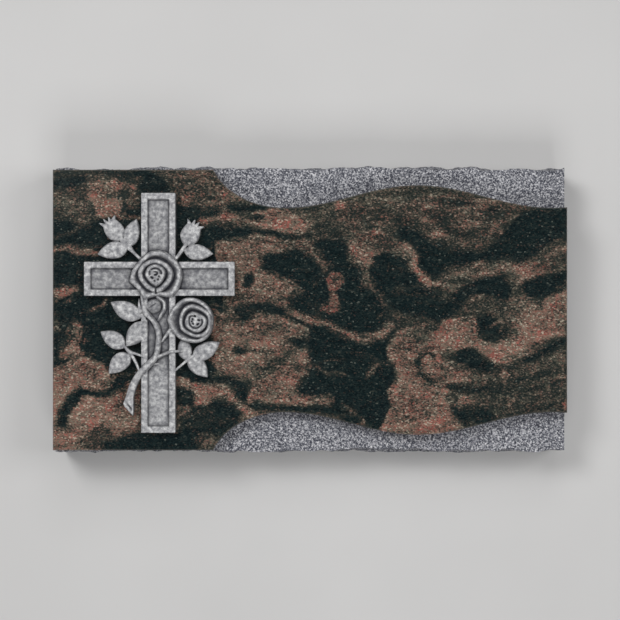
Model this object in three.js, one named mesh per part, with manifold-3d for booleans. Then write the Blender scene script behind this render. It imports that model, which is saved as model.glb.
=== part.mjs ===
// A flat grave marker: a split grey granite base, a polished granite plate with two waved edges,
// and a cast cross with roses on its left third. Millimetres, +Z up. X runs along the marker, +Y
// points to the top of the cross, and the origin is under the middle of the base.
import * as THREE from "three";
import { mergeVertices } from "three/addons/utils/BufferGeometryUtils.js";
import Module from "manifold-3d";

const wasm = await Module();
wasm.setup();

// Stones
const GAP = 0.3;
const BASE = {
  length: 550,
  height: 60,
  sideReach: 158, // how far the boldest point of a split side stands from the middle line
  sideDepth: 8, // from that point to the deepest hollow
  topSetBack: 2.5, // the upper arris is knocked back by this much
  columns: 44,
  rows: 4,
  jitter: 0.35, // share of a cell by which a facet's corner leaves the even grid
  swellColumns: 5, // the side also swells and dips slowly, over this many columns
  swellShare: 0.45,
};
const PLATE = { length: 550, depth: 300, top: 80, chamfer: 1.2 };
const WAVE = {
  firstTroughX: -26.6,
  crestX: 114.5,
  lastTroughX: 259.8,
  troughY: 109.3,
  crestY: 133.4,
  arcLength: 82, // half-axes of the elliptical arc that leads in from the long edge
  arcDepth: 62,
  arcSteps: 10,
  stepLength: 12,
};

// Ornament, in its own frame: the origin is where the arms cross, z counts from its flat back
const ORNAMENT_X = -161.1;
const ORNAMENT_Y = 33.1;
const CROSS = {
  halfWidth: 18.1,
  top: 91.2,
  foot: -163.5,
  left: -78.8,
  right: 81,
  rim: 6.6,
  height: 12,
  field: 8.2,
  bevel: 0.8,
};
// Each leaf runs from base to tip; left and right are its half-widths seen along that way, and
// rise is the height of its face at the base and at the tip.
const LEAVES = [
  { base: [-29.8, 34.5], tip: [-23.5, 64.1], left: 10.4, right: 6.4, rise: [9, 7.5] },
  { base: [-32.5, 32.9], tip: [-65.4, 26.1], left: 8.4, right: 10, rise: [9, 7.5] },
  { base: [26.6, 29.7], tip: [58, 26.8], left: 8.5, right: 8.7, rise: [9, 7.5] },
  { base: [-17.5, -41], tip: [-51.2, -24.6], left: 10.6, right: 8.7, rise: [14.5, 9] },
  { base: [-12.4, -45.8], tip: [-34.5, -71.9], left: 9.1, right: 10.2, rise: [15, 9.5] },
  { base: [-35.3, -72.9], tip: [-62.1, -56.2], left: 8.4, right: 9.3, rise: [9, 7.5] },
  { base: [-29.3, -80.4], tip: [-53.2, -101], left: 7.7, right: 10.9, rise: [9, 7.5] },
  { base: [29.8, -86.8], tip: [25.5, -61.8], left: 7.4, right: 7.4, rise: [10, 10] },
  { base: [35.6, -84.6], tip: [64.9, -67.4], left: 8.8, right: 9.1, rise: [10, 8] },
  { base: [31.4, -82.6], tip: [52, -104.8], left: 9, right: 8, rise: [10, 8] },
];
const LEAF = { steps: 9, widest: 0.45, baseFullness: 2.7, tipFullness: 1.9, edge: 2.2, crown: 0.5 };
// A crowned bud's crown gives the tips of its sepals.
const BUDS = [
  {
    base: [-39.6, 40.8],
    tip: [-53.3, 60.3],
    left: 10,
    right: 10,
    rise: [9.5, 10],
    crown: [[-63.1, 59.1], [-58.7, 63.4], [-53.4, 65.4], [-46.7, 67.3]],
  },
  {
    base: [27.8, 34.8],
    tip: [38.2, 57.2],
    left: 10,
    right: 10,
    rise: [9.5, 10],
    crown: [[31, 63.7], [38.6, 62.7], [43.2, 60.1], [48, 55.4]],
  },
];
const BUD = { widest: 0.5, tipShare: 0.7, baseFullness: 2.2, tipFullness: 2 };
const SEPAL = { width: 3.6, point: 0.5, root: 1.2, footDrop: 0.6, tipDrop: 2.4 };
// Stems are rods half sunk in the back: each point is [x, y, height, width].
const STEMS = {
  main: [
    [-15.4, -30, 14.5, 4.6],
    [-13.7, -35.2, 15.5, 5.2],
    [-8.2, -42.2, 16, 5],
    [-2.8, -48.6, 16, 4.7],
    [0.2, -57, 16, 4.6],
    [0.2, -66.4, 16, 4.7],
    [-2.2, -81.1, 16, 5],
    [-9.5, -90.2, 16, 6],
    [-19.3, -100.5, 15.5, 6.6],
    [-26.6, -112.7, 13.5, 7.6],
    [-31, -127, 12, 8.4],
  ],
  leftCalyx: [
    [-17.4, -18, 14, 2.4],
    [-16.6, -26, 14.5, 3],
    [-14, -34.5, 15, 4.6],
  ],
  rightSepal: [
    [-0.8, -19.3, 14.5, 2.4],
    [5.6, -24.2, 14.5, 2.6],
    [6.4, -31.7, 14, 2.6],
    [2.8, -38.5, 13.5, 2.2],
    [-0.1, -43.9, 12, 1.2],
  ],
  leftSepal: [
    [-20.5, -20.9, 10, 0.8],
    [-20.3, -27, 12, 2.4],
    [-19.2, -34.5, 14, 3.8],
  ],
  rightTwig: [
    [-0.6, -83, 15, 2.8],
    [6.3, -80, 14.5, 2.4],
    [12.7, -77.8, 14.2, 2.4],
    [18.8, -77, 13.5, 2.4],
    [25.9, -76.5, 12, 1.8],
  ],
  lowerRightTwig: [
    [17, -98.2, 11.5, 2.2],
    [24, -92, 10.5, 2.3],
    [30, -87, 10, 3],
    [38, -81.5, 10, 4.2],
  ],
  roseTwig: [
    [4.2, -66.3, 12, 1.6],
    [8, -60.5, 13.5, 2.6],
    [12.6, -54, 14, 3],
  ],
  leftTwig: [
    [-35.9, -72, 9, 2.4],
    [-31.2, -77.4, 10, 3.6],
    [-24.5, -79.5, 12, 2.4],
    [-16, -82.3, 13.5, 2.2],
  ],
  lowerLeftTwig: [
    [-31.2, -77.4, 10, 3.4],
    [-26, -85, 11.5, 3],
    [-22.4, -92, 13, 2.4],
    [-19.8, -98.5, 14, 2.4],
  ],
  upperLeftTwig: [
    [-38.5, 40.2, 9.2, 5],
    [-31.4, 33.4, 9.5, 5.4],
    [-26, 27.6, 10.5, 3],
    [-17.5, 19.8, 13, 3.2],
  ],
  upperRightTwig: [
    [28.6, 36.2, 9.2, 3.4],
    [26.4, 32.4, 9.8, 3.8],
    [22.6, 27, 11, 3.2],
    [16.5, 18.4, 13.5, 3.2],
  ],
  thorn: [
    [-22.2, -102.5, 12, 2.6],
    [-24.6, -99.2, 11, 1.2],
  ],
};
const ROD_STEP = 5.5; // about one section to this many millimetres of a stem
// The lower end of the main stem is cut across at a slant, and its cut face is hollow.
const CUT = {
  outline: [
    [-35.1, -126.4],
    [-37.3, -132.6],
    [-35.6, -136.2],
    [-26.8, -145.6],
    [-26.3, -137],
    [-26.5, -124.3],
  ],
  hollow: [
    [-34.6, -130.6],
    [-33.4, -133],
    [-28.2, -140.2],
    [-28.4, -137.4],
  ],
  height: 11.5,
  floor: 8.5,
};
// Beside the main stem a slim gap opens down to the field of the cross.
const SLIT = [
  [-12.4, -41.9, 30, 1.6],
  [-9.2, -45, 30, 2.2],
  [-6, -49.4, 30, 1.4],
];
const SLIT_FLOOR = 9;
// A rose is a nest of rims. Each rim is one or more petals, a petal is a smooth line through its
// points, and petals meet in corners. foot is the height at which a rim's outer wall starts.
const ROSES = [
  {
    centre: [-2.4, 4.8],
    rims: [
      {
        foot: 0,
        top: 17.5,
        lip: 4.6,
        petals: [
          [[25.3, 1.9], [23.9, 12.4], [17.4, 21.5], [7.6, 28.3], [-2.2, 29.7], [-9.6, 28.1],
            [-17.8, 21.5], [-24.2, 13.5], [-28.1, 7.5], [-30.7, -2.7]],
          [[-30.7, -2.7], [-21, -11.9], [-15, -21.7]],
          [[-15, -21.7], [-2.1, -18.5], [14, -19.7]],
          [[14, -19.7], [21.5, -10.8], [25.3, 1.9]],
        ],
      },
      {
        foot: 12.5,
        top: 21,
        lip: 4.4,
        petals: [
          [[16.2, 5], [14.8, 9.8], [11.8, 13.8], [7.4, 17.2], [2, 19.6], [-3.4, 20.4], [-9.2, 19.2],
            [-15.2, 15.6], [-19.2, 10.6], [-20.6, 5.6], [-19.4, 0.2], [-15.9, -5.5], [-9.9, -11.4],
            [-2, -14.8]],
          [[-2, -14.8], [3.8, -13], [10.4, -7.4], [14.8, -1], [16.2, 5]],
        ],
      },
      {
        foot: 15.5,
        top: 23.5,
        lip: 3.6,
        petals: [
          [[-1.2, -8], [3.6, -4.2], [6.7, 0.8], [7.9, 5.8], [6.6, 9.9], [2.8, 13.3], [-2.2, 14.7],
            [-6.5, 13.9], [-10.3, 11.2], [-12.6, 6.4], [-12.2, 2.6], [-10.1, -0.8], [-6.2, -5],
            [-1.2, -8]],
        ],
      },
    ],
    core: { centre: [-1.9, 4.6], radius: 6.2, foot: 21, top: 23.8 },
  },
  {
    centre: [35.8, -44.6],
    rims: [
      {
        foot: 0,
        top: 16,
        lip: 4.4,
        petals: [
          [[9.4, -43.3], [12.4, -51.7], [16.5, -57.9], [23.9, -64.5], [32, -67.3], [38.7, -68.3],
            [45.5, -67], [52.3, -62.5], [57.4, -53.7], [58.4, -40.8], [55, -31.4], [47.5, -24],
            [37.4, -20], [26.6, -21.2], [18.5, -27.4], [12.4, -35.4], [9.4, -43.3]],
        ],
      },
      {
        foot: 10.5,
        top: 19,
        lip: 3.8,
        petals: [
          [[24.4, -53.5], [29.8, -57.7], [37.9, -61.4], [43.3, -62], [49.3, -60.3], [54.7, -54.9],
            [56.4, -45.5], [55.4, -38.7], [50.7, -33.3], [43.3, -29.3], [35.9, -27.6], [29.1, -29.9],
            [24.4, -36.7], [22.7, -45.5], [24.4, -53.5]],
        ],
      },
      {
        foot: 13,
        top: 21.5,
        lip: 3,
        petals: [
          [[36.5, -35.1], [42.5, -36.8], [49.9, -40.8], [51.6, -45.6], [49.9, -51], [44.5, -55.7],
            [39.1, -56.3], [33.8, -53.6], [29.7, -49.6], [29.4, -44.2], [31.8, -38.2], [36.5, -35.1]],
        ],
      },
    ],
    core: { centre: [40.3, -45.6], radius: 6, foot: 18.5, top: 21.8 },
  },
];
const ROSE_SIDES = 36;
const ROSE_TURN = (2 * Math.PI) / ROSE_SIDES;
const PETAL_STEPS = 60; // fine steps along a petal, among which a rim's corner is looked up
const FOOT_DRAFT = 0.8; // how far a rim's wall leans in from its foot
const LIP_ROUND = 1.4; // how far a rim's face is drawn in to round its shoulder
const NOTCH = [
  [-2, -15.5, 30, 1.6],
  [-2, -9.5, 30, 0.8],
];
const NOTCH_FLOOR = 14;
const HIDDEN_BUD = { centre: [-4.8, -28.9], radius: 8.6, foot: 6, top: 15, sides: 18 };
const HIDDEN_BUD_TURNS = [0, 35, 60, 78]; // where the rings of its dome stand, in degrees from its foot

const UP = new THREE.Vector3(0, 0, 1);

// Finishes as three.js materials
const GREY_GRANITE = new THREE.MeshStandardMaterial({ color: 0x7d7e83, roughness: 0.85, metalness: 0 });
const RED_GRANITE = new THREE.MeshStandardMaterial({ color: 0x3f3634, roughness: 0.12, metalness: 0 });
const CAST_GREY = new THREE.MeshStandardMaterial({ color: 0xa3a3a6, roughness: 0.6, metalness: 0.4 });

// A closed three.js geometry as a solid that can be joined and cut.
function solidOf(geometry) {
  const bare = geometry.clone();
  bare.deleteAttribute("normal");
  bare.deleteAttribute("uv");
  const merged = mergeVertices(bare, 1e-4);
  return new wasm.Manifold(
    new wasm.Mesh({
      numProp: 3,
      vertProperties: merged.attributes.position.array,
      triVerts: new Uint32Array(merged.index.array),
    }),
  );
}

// A solid back as a three.js geometry with flat faces.
function geometryOf(solid) {
  const mesh = solid.getMesh();
  const geometry = new THREE.BufferGeometry();
  geometry.setAttribute("position", new THREE.BufferAttribute(mesh.vertProperties, 3));
  geometry.setIndex(new THREE.BufferAttribute(mesh.triVerts, 1));
  geometry.computeVertexNormals();
  return geometry;
}

function union(solids) {
  return solids.reduce((joined, solid) => joined.add(solid));
}

// A geometry from points and index triples.
function meshed(points, triangles) {
  const geometry = new THREE.BufferGeometry().setFromPoints(points);
  geometry.setIndex(triangles.flat());
  return geometry;
}

// A closed body through rings of as many points each. Seen from the last ring they run
// anticlockwise, and a fan from its middle closes either end.
function loft(rings) {
  const count = rings[0].length;
  const points = rings.flat();
  const triangles = [];
  for (let level = 0; level + 1 < rings.length; level += 1) {
    for (let i = 0; i < count; i += 1) {
      const next = (i + 1) % count;
      const a = level * count + i;
      const b = level * count + next;
      triangles.push([a, b, b + count], [a, b + count, a + count]);
    }
  }
  for (const [ring, first, turned] of [[rings[0], 0, true], [rings.at(-1), points.length - count, false]]) {
    const middle = points.length;
    points.push(ring.reduce((sum, p) => sum.add(p), new THREE.Vector3()).divideScalar(count));
    for (let i = 0; i < count; i += 1) {
      const a = first + i;
      const b = first + ((i + 1) % count);
      triangles.push(turned ? [middle, b, a] : [middle, a, b]);
    }
  }
  return solidOf(meshed(points, triangles));
}

// An upright prism over an outline, from z = low to z = high.
function prism(outline, low, high) {
  const shape = new THREE.Shape(outline.map(([x, y]) => new THREE.Vector2(x, y)));
  const geometry = new THREE.ExtrudeGeometry(shape, { depth: high - low, bevelEnabled: false });
  return solidOf(geometry.translate(0, 0, low));
}

// An even value from 0 to 1 that is fixed by three whole numbers.
function scatter(i, j, k) {
  const wild = Math.sin(i * 127.1 + j * 311.7 + k * 74.7) * 43758.5453;
  return wild - Math.floor(wild);
}

// The facet corners of one split side, by column and row, with the hollows scaled to their depth.
function splitSide(side) {
  const { columns, rows, length, height, jitter, swellColumns, swellShare } = BASE;
  const wildness = [];
  for (let i = 0; i <= columns; i += 1) {
    const swellAt = Math.floor(i / swellColumns);
    const between = (i % swellColumns) / swellColumns;
    const swell = THREE.MathUtils.lerp(scatter(swellAt, side, 3), scatter(swellAt + 1, side, 3), between);
    for (let j = 0; j <= rows; j += 1) {
      const setBack = j === rows ? BASE.topSetBack / BASE.sideDepth : 0;
      wildness.push(swellShare * swell + (1 - swellShare) * scatter(i, j, side) - setBack);
    }
  }
  const least = Math.min(...wildness);
  const most = Math.max(...wildness);
  return wildness.map((value, at) => {
    const i = Math.floor(at / (rows + 1));
    const j = at % (rows + 1);
    const inside = i > 0 && i < columns;
    const midHeight = j > 0 && j < rows;
    const shiftX = inside ? (scatter(i, j, side + 5) - 0.5) * 2 * jitter : 0;
    const shiftZ = midHeight ? (scatter(i, j, side + 9) - 0.5) * 2 * jitter : 0;
    const reach = BASE.sideReach - (BASE.sideDepth * (most - value)) / (most - least);
    const x = ((i + shiftX) / columns - 0.5) * length;
    return new THREE.Vector3(x, side * reach, ((j + shiftZ) / rows) * height);
  });
}

function baseSolid() {
  const { columns, rows } = BASE;
  const far = splitSide(1);
  const near = splitSide(-1);
  const points = [...far, ...near];
  const farAt = (i, j) => i * (rows + 1) + j;
  const nearAt = (i, j) => far.length + farAt(i, j);
  const triangles = [];
  const quad = (a, b, c, d, other) => {
    triangles.push(...(other ? [[a, b, c], [a, c, d]] : [[a, b, d], [b, c, d]]));
  };
  for (let i = 0; i < columns; i += 1) {
    for (let j = 0; j < rows; j += 1) {
      const other = scatter(i, j, 13) > 0.5;
      quad(nearAt(i, j), nearAt(i + 1, j), nearAt(i + 1, j + 1), nearAt(i, j + 1), other);
      quad(farAt(i + 1, j), farAt(i, j), farAt(i, j + 1), farAt(i + 1, j + 1), other);
    }
    quad(nearAt(i, rows), nearAt(i + 1, rows), farAt(i + 1, rows), farAt(i, rows), true);
    quad(farAt(i, 0), farAt(i + 1, 0), nearAt(i + 1, 0), nearAt(i, 0), true);
  }
  for (let j = 0; j < rows; j += 1) {
    quad(farAt(0, j), nearAt(0, j), nearAt(0, j + 1), farAt(0, j + 1), true);
    quad(nearAt(columns, j), farAt(columns, j), farAt(columns, j + 1), nearAt(columns, j + 1), true);
  }
  return solidOf(meshed(points, triangles));
}

// The waved upper edge of the plate, from where it leaves the long edge to the right end.
function waveEdge() {
  const { firstTroughX, crestX, lastTroughX, troughY, crestY, arcLength, arcDepth, arcSteps } = WAVE;
  const edge = [];
  const widest = Math.acos(1 - (PLATE.depth / 2 - troughY) / arcDepth);
  for (let step = 0; step < arcSteps; step += 1) {
    const angle = widest * (1 - step / arcSteps);
    edge.push([firstTroughX - arcLength * Math.sin(angle), troughY + arcDepth * (1 - Math.cos(angle))]);
  }
  const steps = Math.round((PLATE.length / 2 - firstTroughX) / WAVE.stepLength);
  for (let step = 0; step <= steps; step += 1) {
    const x = firstTroughX + ((PLATE.length / 2 - firstTroughX) * step) / steps;
    const rising = (x - firstTroughX) / (crestX - firstTroughX);
    const falling = 1 + (x - crestX) / (lastTroughX - crestX);
    const turn = x < crestX ? rising : falling;
    edge.push([x, (crestY + troughY) / 2 - ((crestY - troughY) / 2) * Math.cos(Math.PI * turn)]);
  }
  return edge;
}

function plateSolid() {
  const left = -PLATE.length / 2;
  const upper = waveEdge();
  const lower = upper.map(([x, y]) => [x, -y]);
  const outline = [[left, -PLATE.depth / 2], ...lower, ...upper.reverse(), [left, PLATE.depth / 2]];
  const shape = new THREE.Shape(outline.map(([x, y]) => new THREE.Vector2(x, y)));
  const low = BASE.height + GAP;
  const geometry = new THREE.ExtrudeGeometry(shape, {
    depth: PLATE.top - low,
    bevelThickness: PLATE.chamfer,
    bevelSize: PLATE.chamfer,
    bevelOffset: -PLATE.chamfer,
    bevelSegments: 1,
  });
  geometry.translate(0, 0, low - PLATE.chamfer);
  const keep = new THREE.BoxGeometry(2 * PLATE.length, 2 * PLATE.depth, PLATE.top);
  return solidOf(geometry).intersect(solidOf(keep.translate(0, 0, low + PLATE.top / 2)));
}

// Half-width of a leaf or bud at a share of its length, as a share of its widest.
function bladeWidth(share, form) {
  const { widest, tipShare = 0, baseFullness, tipFullness } = form;
  if (share < widest) {
    return 1 - ((widest - share) / widest) ** baseFullness;
  }
  return 1 - (1 - tipShare) * ((share - widest) / (1 - widest)) ** tipFullness;
}

// One ring round a blade, drawn in by the shares given, at the heights that rise says less a drop.
function bladeRing(blade, form, widthShare, lengthShare, drop) {
  const base = new THREE.Vector2(...blade.base);
  const along = new THREE.Vector2(...blade.tip).sub(base);
  const across = new THREE.Vector2(-along.y, along.x).normalize();
  const point = (share, reach) => {
    const drawn = 0.5 + (share - 0.5) * lengthShare;
    const side = reach * bladeWidth(share, form);
    const at = base.clone().addScaledVector(along, drawn).addScaledVector(across, side);
    const height = drop === null ? 0 : THREE.MathUtils.lerp(...blade.rise, drawn) - drop;
    return new THREE.Vector3(at.x, at.y, height);
  };
  const ring = [];
  const last = form.tipShare ? LEAF.steps : LEAF.steps - 1;
  for (let step = 0; step <= LEAF.steps; step += 1) {
    ring.push(point(step / LEAF.steps, -blade.right * widthShare));
  }
  for (let step = last; step > 0; step -= 1) {
    ring.push(point(step / LEAF.steps, blade.left * widthShare));
  }
  return ring;
}

function bladeSolid(blade, form) {
  return loft([
    bladeRing(blade, form, 1, 1, null),
    bladeRing(blade, form, 1, 1, LEAF.edge),
    bladeRing(blade, form, 0.86, 0.93, LEAF.crown),
    bladeRing(blade, form, 0.4, 0.6, 0),
  ]);
}

// A crowned bud: a swollen body cut off flat, with a fan of pointed sepals round the cut.
function budSolids(bud) {
  const base = new THREE.Vector2(...bud.base);
  const along = new THREE.Vector2(...bud.tip).sub(base).normalize();
  const across = new THREE.Vector2(-along.y, along.x);
  const mouth = bud.left * BUD.tipShare;
  const root = new THREE.Vector2(...bud.tip).addScaledVector(along, -SEPAL.root);
  const sepals = bud.crown.map((tip, at) => {
    const reach = mouth * (1 - (2 * (at + 0.5)) / bud.crown.length);
    const foot = root.clone().addScaledVector(across, reach);
    return rod([
      [foot.x, foot.y, bud.rise[1] - SEPAL.footDrop, SEPAL.width],
      [...tip, bud.rise[1] - SEPAL.tipDrop, SEPAL.point],
    ]);
  });
  return [bladeSolid(bud, BUD), ...sepals];
}

// A rod with a flat back and a round face along points [x, y, height, width].
function rod(route, floor = 0) {
  const middle = new THREE.CatmullRomCurve3(route.map(([x, y, height]) => new THREE.Vector3(x, y, height)));
  const widths = new THREE.SplineCurve(route.map(([, , , width], at) => new THREE.Vector2(at, width)));
  const steps = Math.max(1, Math.round(middle.getLength() / ROD_STEP));
  const rings = [];
  for (let step = 0; step <= steps; step += 1) {
    const share = route.length === 2 ? step / steps : middle.getUtoTmapping(step / steps);
    const { x, y, z } = middle.getPoint(share);
    const way = middle.getTangent(share).setZ(0).normalize();
    const half = widths.getPoint(share).y / 2;
    const across = new THREE.Vector3(-way.y, way.x, 0);
    const shoulder = Math.min(1.1 * half, (z - floor) / 2);
    const cheek = z - 0.25 * shoulder;
    const section = [[-1, floor], [1, floor], [1, z - shoulder], [0.55, cheek], [0, z], [-0.55, cheek],
      [-1, z - shoulder]];
    const corner = ([reach, height]) => new THREE.Vector3(x, y, height).addScaledVector(across, reach * half);
    rings.push(section.map(corner));
  }
  return loft(rings);
}

// A rim's outline as distances from the rose's centre at even angles.
function rimRadii(rim, centre) {
  const line = rim.petals.flatMap((petal) =>
    new THREE.SplineCurve(petal.map(([x, y]) => new THREE.Vector2(x - centre[0], y - centre[1]))).getPoints(
      PETAL_STEPS,
    ),
  );
  const radii = [];
  for (let i = 0; i < ROSE_SIDES; i += 1) {
    const ray = new THREE.Vector2(Math.cos(i * ROSE_TURN), Math.sin(i * ROSE_TURN));
    const lean = (p) => p.dot(ray) / p.length();
    radii.push(line.reduce((best, p) => (lean(p) > lean(best) ? p : best)).length());
  }
  return radii;
}

function roseSolid(rose) {
  const ring = (radii, inset, height, middle = rose.centre) =>
    radii.map((radius, i) => {
      const turned = new THREE.Vector3(radius - inset, 0, height).applyAxisAngle(UP, i * ROSE_TURN);
      return turned.add({ x: middle[0], y: middle[1], z: 0 });
    });
  const rings = [];
  for (const rim of rose.rims) {
    const radii = rimRadii(rim, rose.centre);
    rings.push(ring(radii, rim.foot ? -FOOT_DRAFT : FOOT_DRAFT, rim.foot));
    rings.push(ring(radii, 0, rim.top - LIP_ROUND * 1.5));
    rings.push(ring(radii, LIP_ROUND, rim.top));
    rings.push(ring(radii, rim.lip - LIP_ROUND, rim.top));
  }
  const { centre, radius, foot, top } = rose.core;
  const circle = new Array(ROSE_SIDES).fill(radius);
  rings.push(ring(circle, -FOOT_DRAFT, foot, centre), ring(circle, LIP_ROUND, top, centre));
  return loft(rings);
}

function hiddenBudSolid() {
  const { centre, radius, foot, top, sides } = HIDDEN_BUD;
  const turn = (2 * Math.PI) / sides;
  const ring = (share, height) =>
    Array.from({ length: sides }, (_, i) => {
      const turned = new THREE.Vector3(radius * share, 0, height).applyAxisAngle(UP, i * turn);
      return turned.add({ x: centre[0], y: centre[1], z: 0 });
    });
  const rise = top - foot;
  return loft(
    HIDDEN_BUD_TURNS.map((degrees) => {
      const angle = THREE.MathUtils.degToRad(degrees);
      return ring(Math.cos(angle), foot + rise * Math.sin(angle));
    }),
  );
}

function crossSolid() {
  const { halfWidth, top, foot, left, right, rim, height, field, bevel } = CROSS;
  const outline = (inset) => {
    const half = halfWidth - inset;
    return [
      [-half, foot + inset],
      [half, foot + inset],
      [half, -half],
      [right - inset, -half],
      [right - inset, half],
      [half, half],
      [half, top - inset],
      [-half, top - inset],
      [-half, half],
      [left + inset, half],
      [left + inset, -half],
      [-half, -half],
    ];
  };
  const ring = (inset, z) => outline(inset).map(([x, y]) => new THREE.Vector3(x, y, z));
  const body = layered([ring(0, 0), ring(0, height - bevel), ring(bevel, height)]);
  const recess = layered([ring(rim + bevel, field), ring(rim, height + 1)]);
  return body.subtract(recess);
}

// As loft, for rings that aren't round enough to be closed by a fan.
function layered(rings) {
  const count = rings[0].length;
  const triangles = [];
  for (let a = 0; a < count * (rings.length - 1); a += 1) {
    const b = (a + 1) % count === 0 ? a + 1 - count : a + 1;
    triangles.push([a, b, b + count], [a, b + count, a + count]);
  }
  const flat = rings[0].map(({ x, y }) => new THREE.Vector2(x, y));
  const last = count * (rings.length - 1);
  for (const [a, b, c] of THREE.ShapeUtils.triangulateShape(flat, [])) {
    triangles.push([a, c, b], [last + a, last + b, last + c]);
  }
  return solidOf(meshed(rings.flat(), triangles));
}

function ornamentSolid() {
  const joined = union([
    crossSolid(),
    hiddenBudSolid(),
    ...LEAVES.map((leaf) => bladeSolid(leaf, LEAF)),
    ...BUDS.flatMap(budSolids),
    ...Object.values(STEMS).map((route) => rod(route)),
    prism(CUT.outline, 0, CUT.height).subtract(prism(CUT.hollow, CUT.floor, 2 * CUT.height)),
    ...ROSES.map(roseSolid),
  ]);
  return joined.subtract(rod(SLIT, SLIT_FLOOR)).subtract(rod(NOTCH, NOTCH_FLOOR));
}

function named(name, solid, material) {
  const mesh = new THREE.Mesh(geometryOf(solid), material);
  mesh.name = name;
  return mesh;
}

const marker = new THREE.Group();
const ornament = named("rose_cross_ornament", ornamentSolid(), CAST_GREY);
ornament.position.set(ORNAMENT_X, ORNAMENT_Y, PLATE.top + GAP);
marker.add(
  named("grey_granite_base", baseSolid(), GREY_GRANITE),
  named("polished_granite_plate", plateSolid(), RED_GRANITE),
  ornament,
);

export default marker;
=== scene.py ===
"""A flat grave marker: a split grey granite base, a polished banded granite plate and a cast cross.

X runs along the marker, +Y points to the top of the cross and +Z is up. Sizes are in millimetres
where nothing else is said, and MM turns them into the metres of the scene.
"""
import logging
import math
from collections.abc import Callable, Mapping, Sequence
from dataclasses import dataclass, field
from enum import Enum
from functools import cached_property
from typing import ClassVar

import bmesh
import bpy
import numpy as np
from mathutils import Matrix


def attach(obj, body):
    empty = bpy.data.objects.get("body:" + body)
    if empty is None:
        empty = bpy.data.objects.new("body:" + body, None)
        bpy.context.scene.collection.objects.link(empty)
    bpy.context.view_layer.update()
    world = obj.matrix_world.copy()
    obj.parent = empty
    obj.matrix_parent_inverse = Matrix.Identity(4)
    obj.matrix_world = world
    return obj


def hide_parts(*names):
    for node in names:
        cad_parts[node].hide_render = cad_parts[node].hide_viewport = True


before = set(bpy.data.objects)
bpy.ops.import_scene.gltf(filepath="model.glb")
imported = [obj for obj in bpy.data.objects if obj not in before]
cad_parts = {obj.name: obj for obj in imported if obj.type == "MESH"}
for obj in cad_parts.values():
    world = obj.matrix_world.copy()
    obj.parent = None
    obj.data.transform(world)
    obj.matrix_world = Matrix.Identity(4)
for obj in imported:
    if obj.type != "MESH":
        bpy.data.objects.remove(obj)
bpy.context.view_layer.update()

MM = 0.001

Array = np.ndarray
Point = tuple[float, float]
Row = tuple[float, ...]
Colour = tuple[float, float, float, float]

log = logging.getLogger("grave_marker")


def colour(red: float, green: float, blue: float) -> Colour:
    """Turns a screen colour into a linear one.

    Args:
        red: Red from 0 to 255.
        green: Green from 0 to 255.
        blue: Blue from 0 to 255.

    Returns:
        The linear colour with full alpha.
    """
    shares = (red / 255, green / 255, blue / 255)
    linear = [s / 12.92 if s <= 0.04045 else ((s + 0.055) / 1.055) ** 2.4 for s in shares]
    return (*linear, 1.0)


def eased(value: Array, low: float, high: float) -> Array:
    """Rises smoothly from 0 at low to 1 at high."""
    share = np.clip((value - low) / (high - low), 0, 1)
    return share * share * (3 - 2 * share)


def smooth_line(points: Array, per_span: int) -> Array:
    """Lays a smooth line through points of any dimension.

    Args:
        points: The points in order, one row each.
        per_span: Steps between one point and the next.

    Returns:
        The points of the line, or the given ones where there are only two.
    """
    if len(points) < 3:
        return points
    padded = np.vstack([points[:1], points, points[-1:]])
    share = np.linspace(0, 1, per_span, endpoint=False)[:, None]
    line = []
    for before, here, there, after in zip(padded, padded[1:], padded[2:], padded[3:]):
        pull, push = (there - before) / 2, (after - here) / 2
        line.append(
            here
            + pull * share
            + (3 * (there - here) - 2 * pull - push) * share**2
            + (2 * (here - there) + pull + push) * share**3
        )
    return np.vstack([*line, points[-1:]])


def depth_inside(x: Array, y: Array, outline: Array) -> Array:
    """Measures how far places lie inside a closed outline.

    Args:
        x: Their x.
        y: Their y.
        outline: The outline's corners, one row each.

    Returns:
        The distance to the outline, positive inside it and negative outside.
    """
    nearest = np.full(x.shape, np.inf)
    inside = np.zeros(x.shape, bool)
    for (ax, ay), (bx, by) in zip(outline, np.roll(outline, -1, axis=0)):
        span_x, span_y = bx - ax, by - ay
        length = span_x**2 + span_y**2
        if length < 1e-12:
            continue
        share = np.clip(((x - ax) * span_x + (y - ay) * span_y) / length, 0, 1)
        nearest = np.minimum(nearest, np.hypot(x - ax - share * span_x, y - ay - share * span_y))
        if abs(span_y) > 1e-12:
            inside ^= ((ay > y) != (by > y)) & (x < ax + (y - ay) * span_x / span_y)
    return np.where(inside, nearest, -nearest)


def along_line(x: Array, y: Array, line: Array) -> tuple[Array, Array]:
    """Measures places against a line whose rows also carry a width and perhaps more.

    Args:
        x: Their x.
        y: Their y.
        line: Rows of x, y, width and any further values.

    Returns:
        How far each place lies inside the widened line, and the further values beside it.
    """
    best = np.full(x.shape, -np.inf)
    carried = np.zeros(x.shape + (line.shape[1] - 3,))
    for start, end in zip(line, line[1:]):
        span = end - start
        length = max(span[0] ** 2 + span[1] ** 2, 1e-9)
        share = np.clip(((x - start[0]) * span[0] + (y - start[1]) * span[1]) / length, 0, 1)
        off = np.hypot(x - start[0] - share * span[0], y - start[1] - share * span[1])
        reach = (start[2] + share * span[2]) / 2 - off
        closer = reach > best
        best = np.where(closer, reach, best)
        carried = np.where(closer[..., None], start[3:] + share[..., None] * span[3:], carried)
    return best, carried


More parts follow.
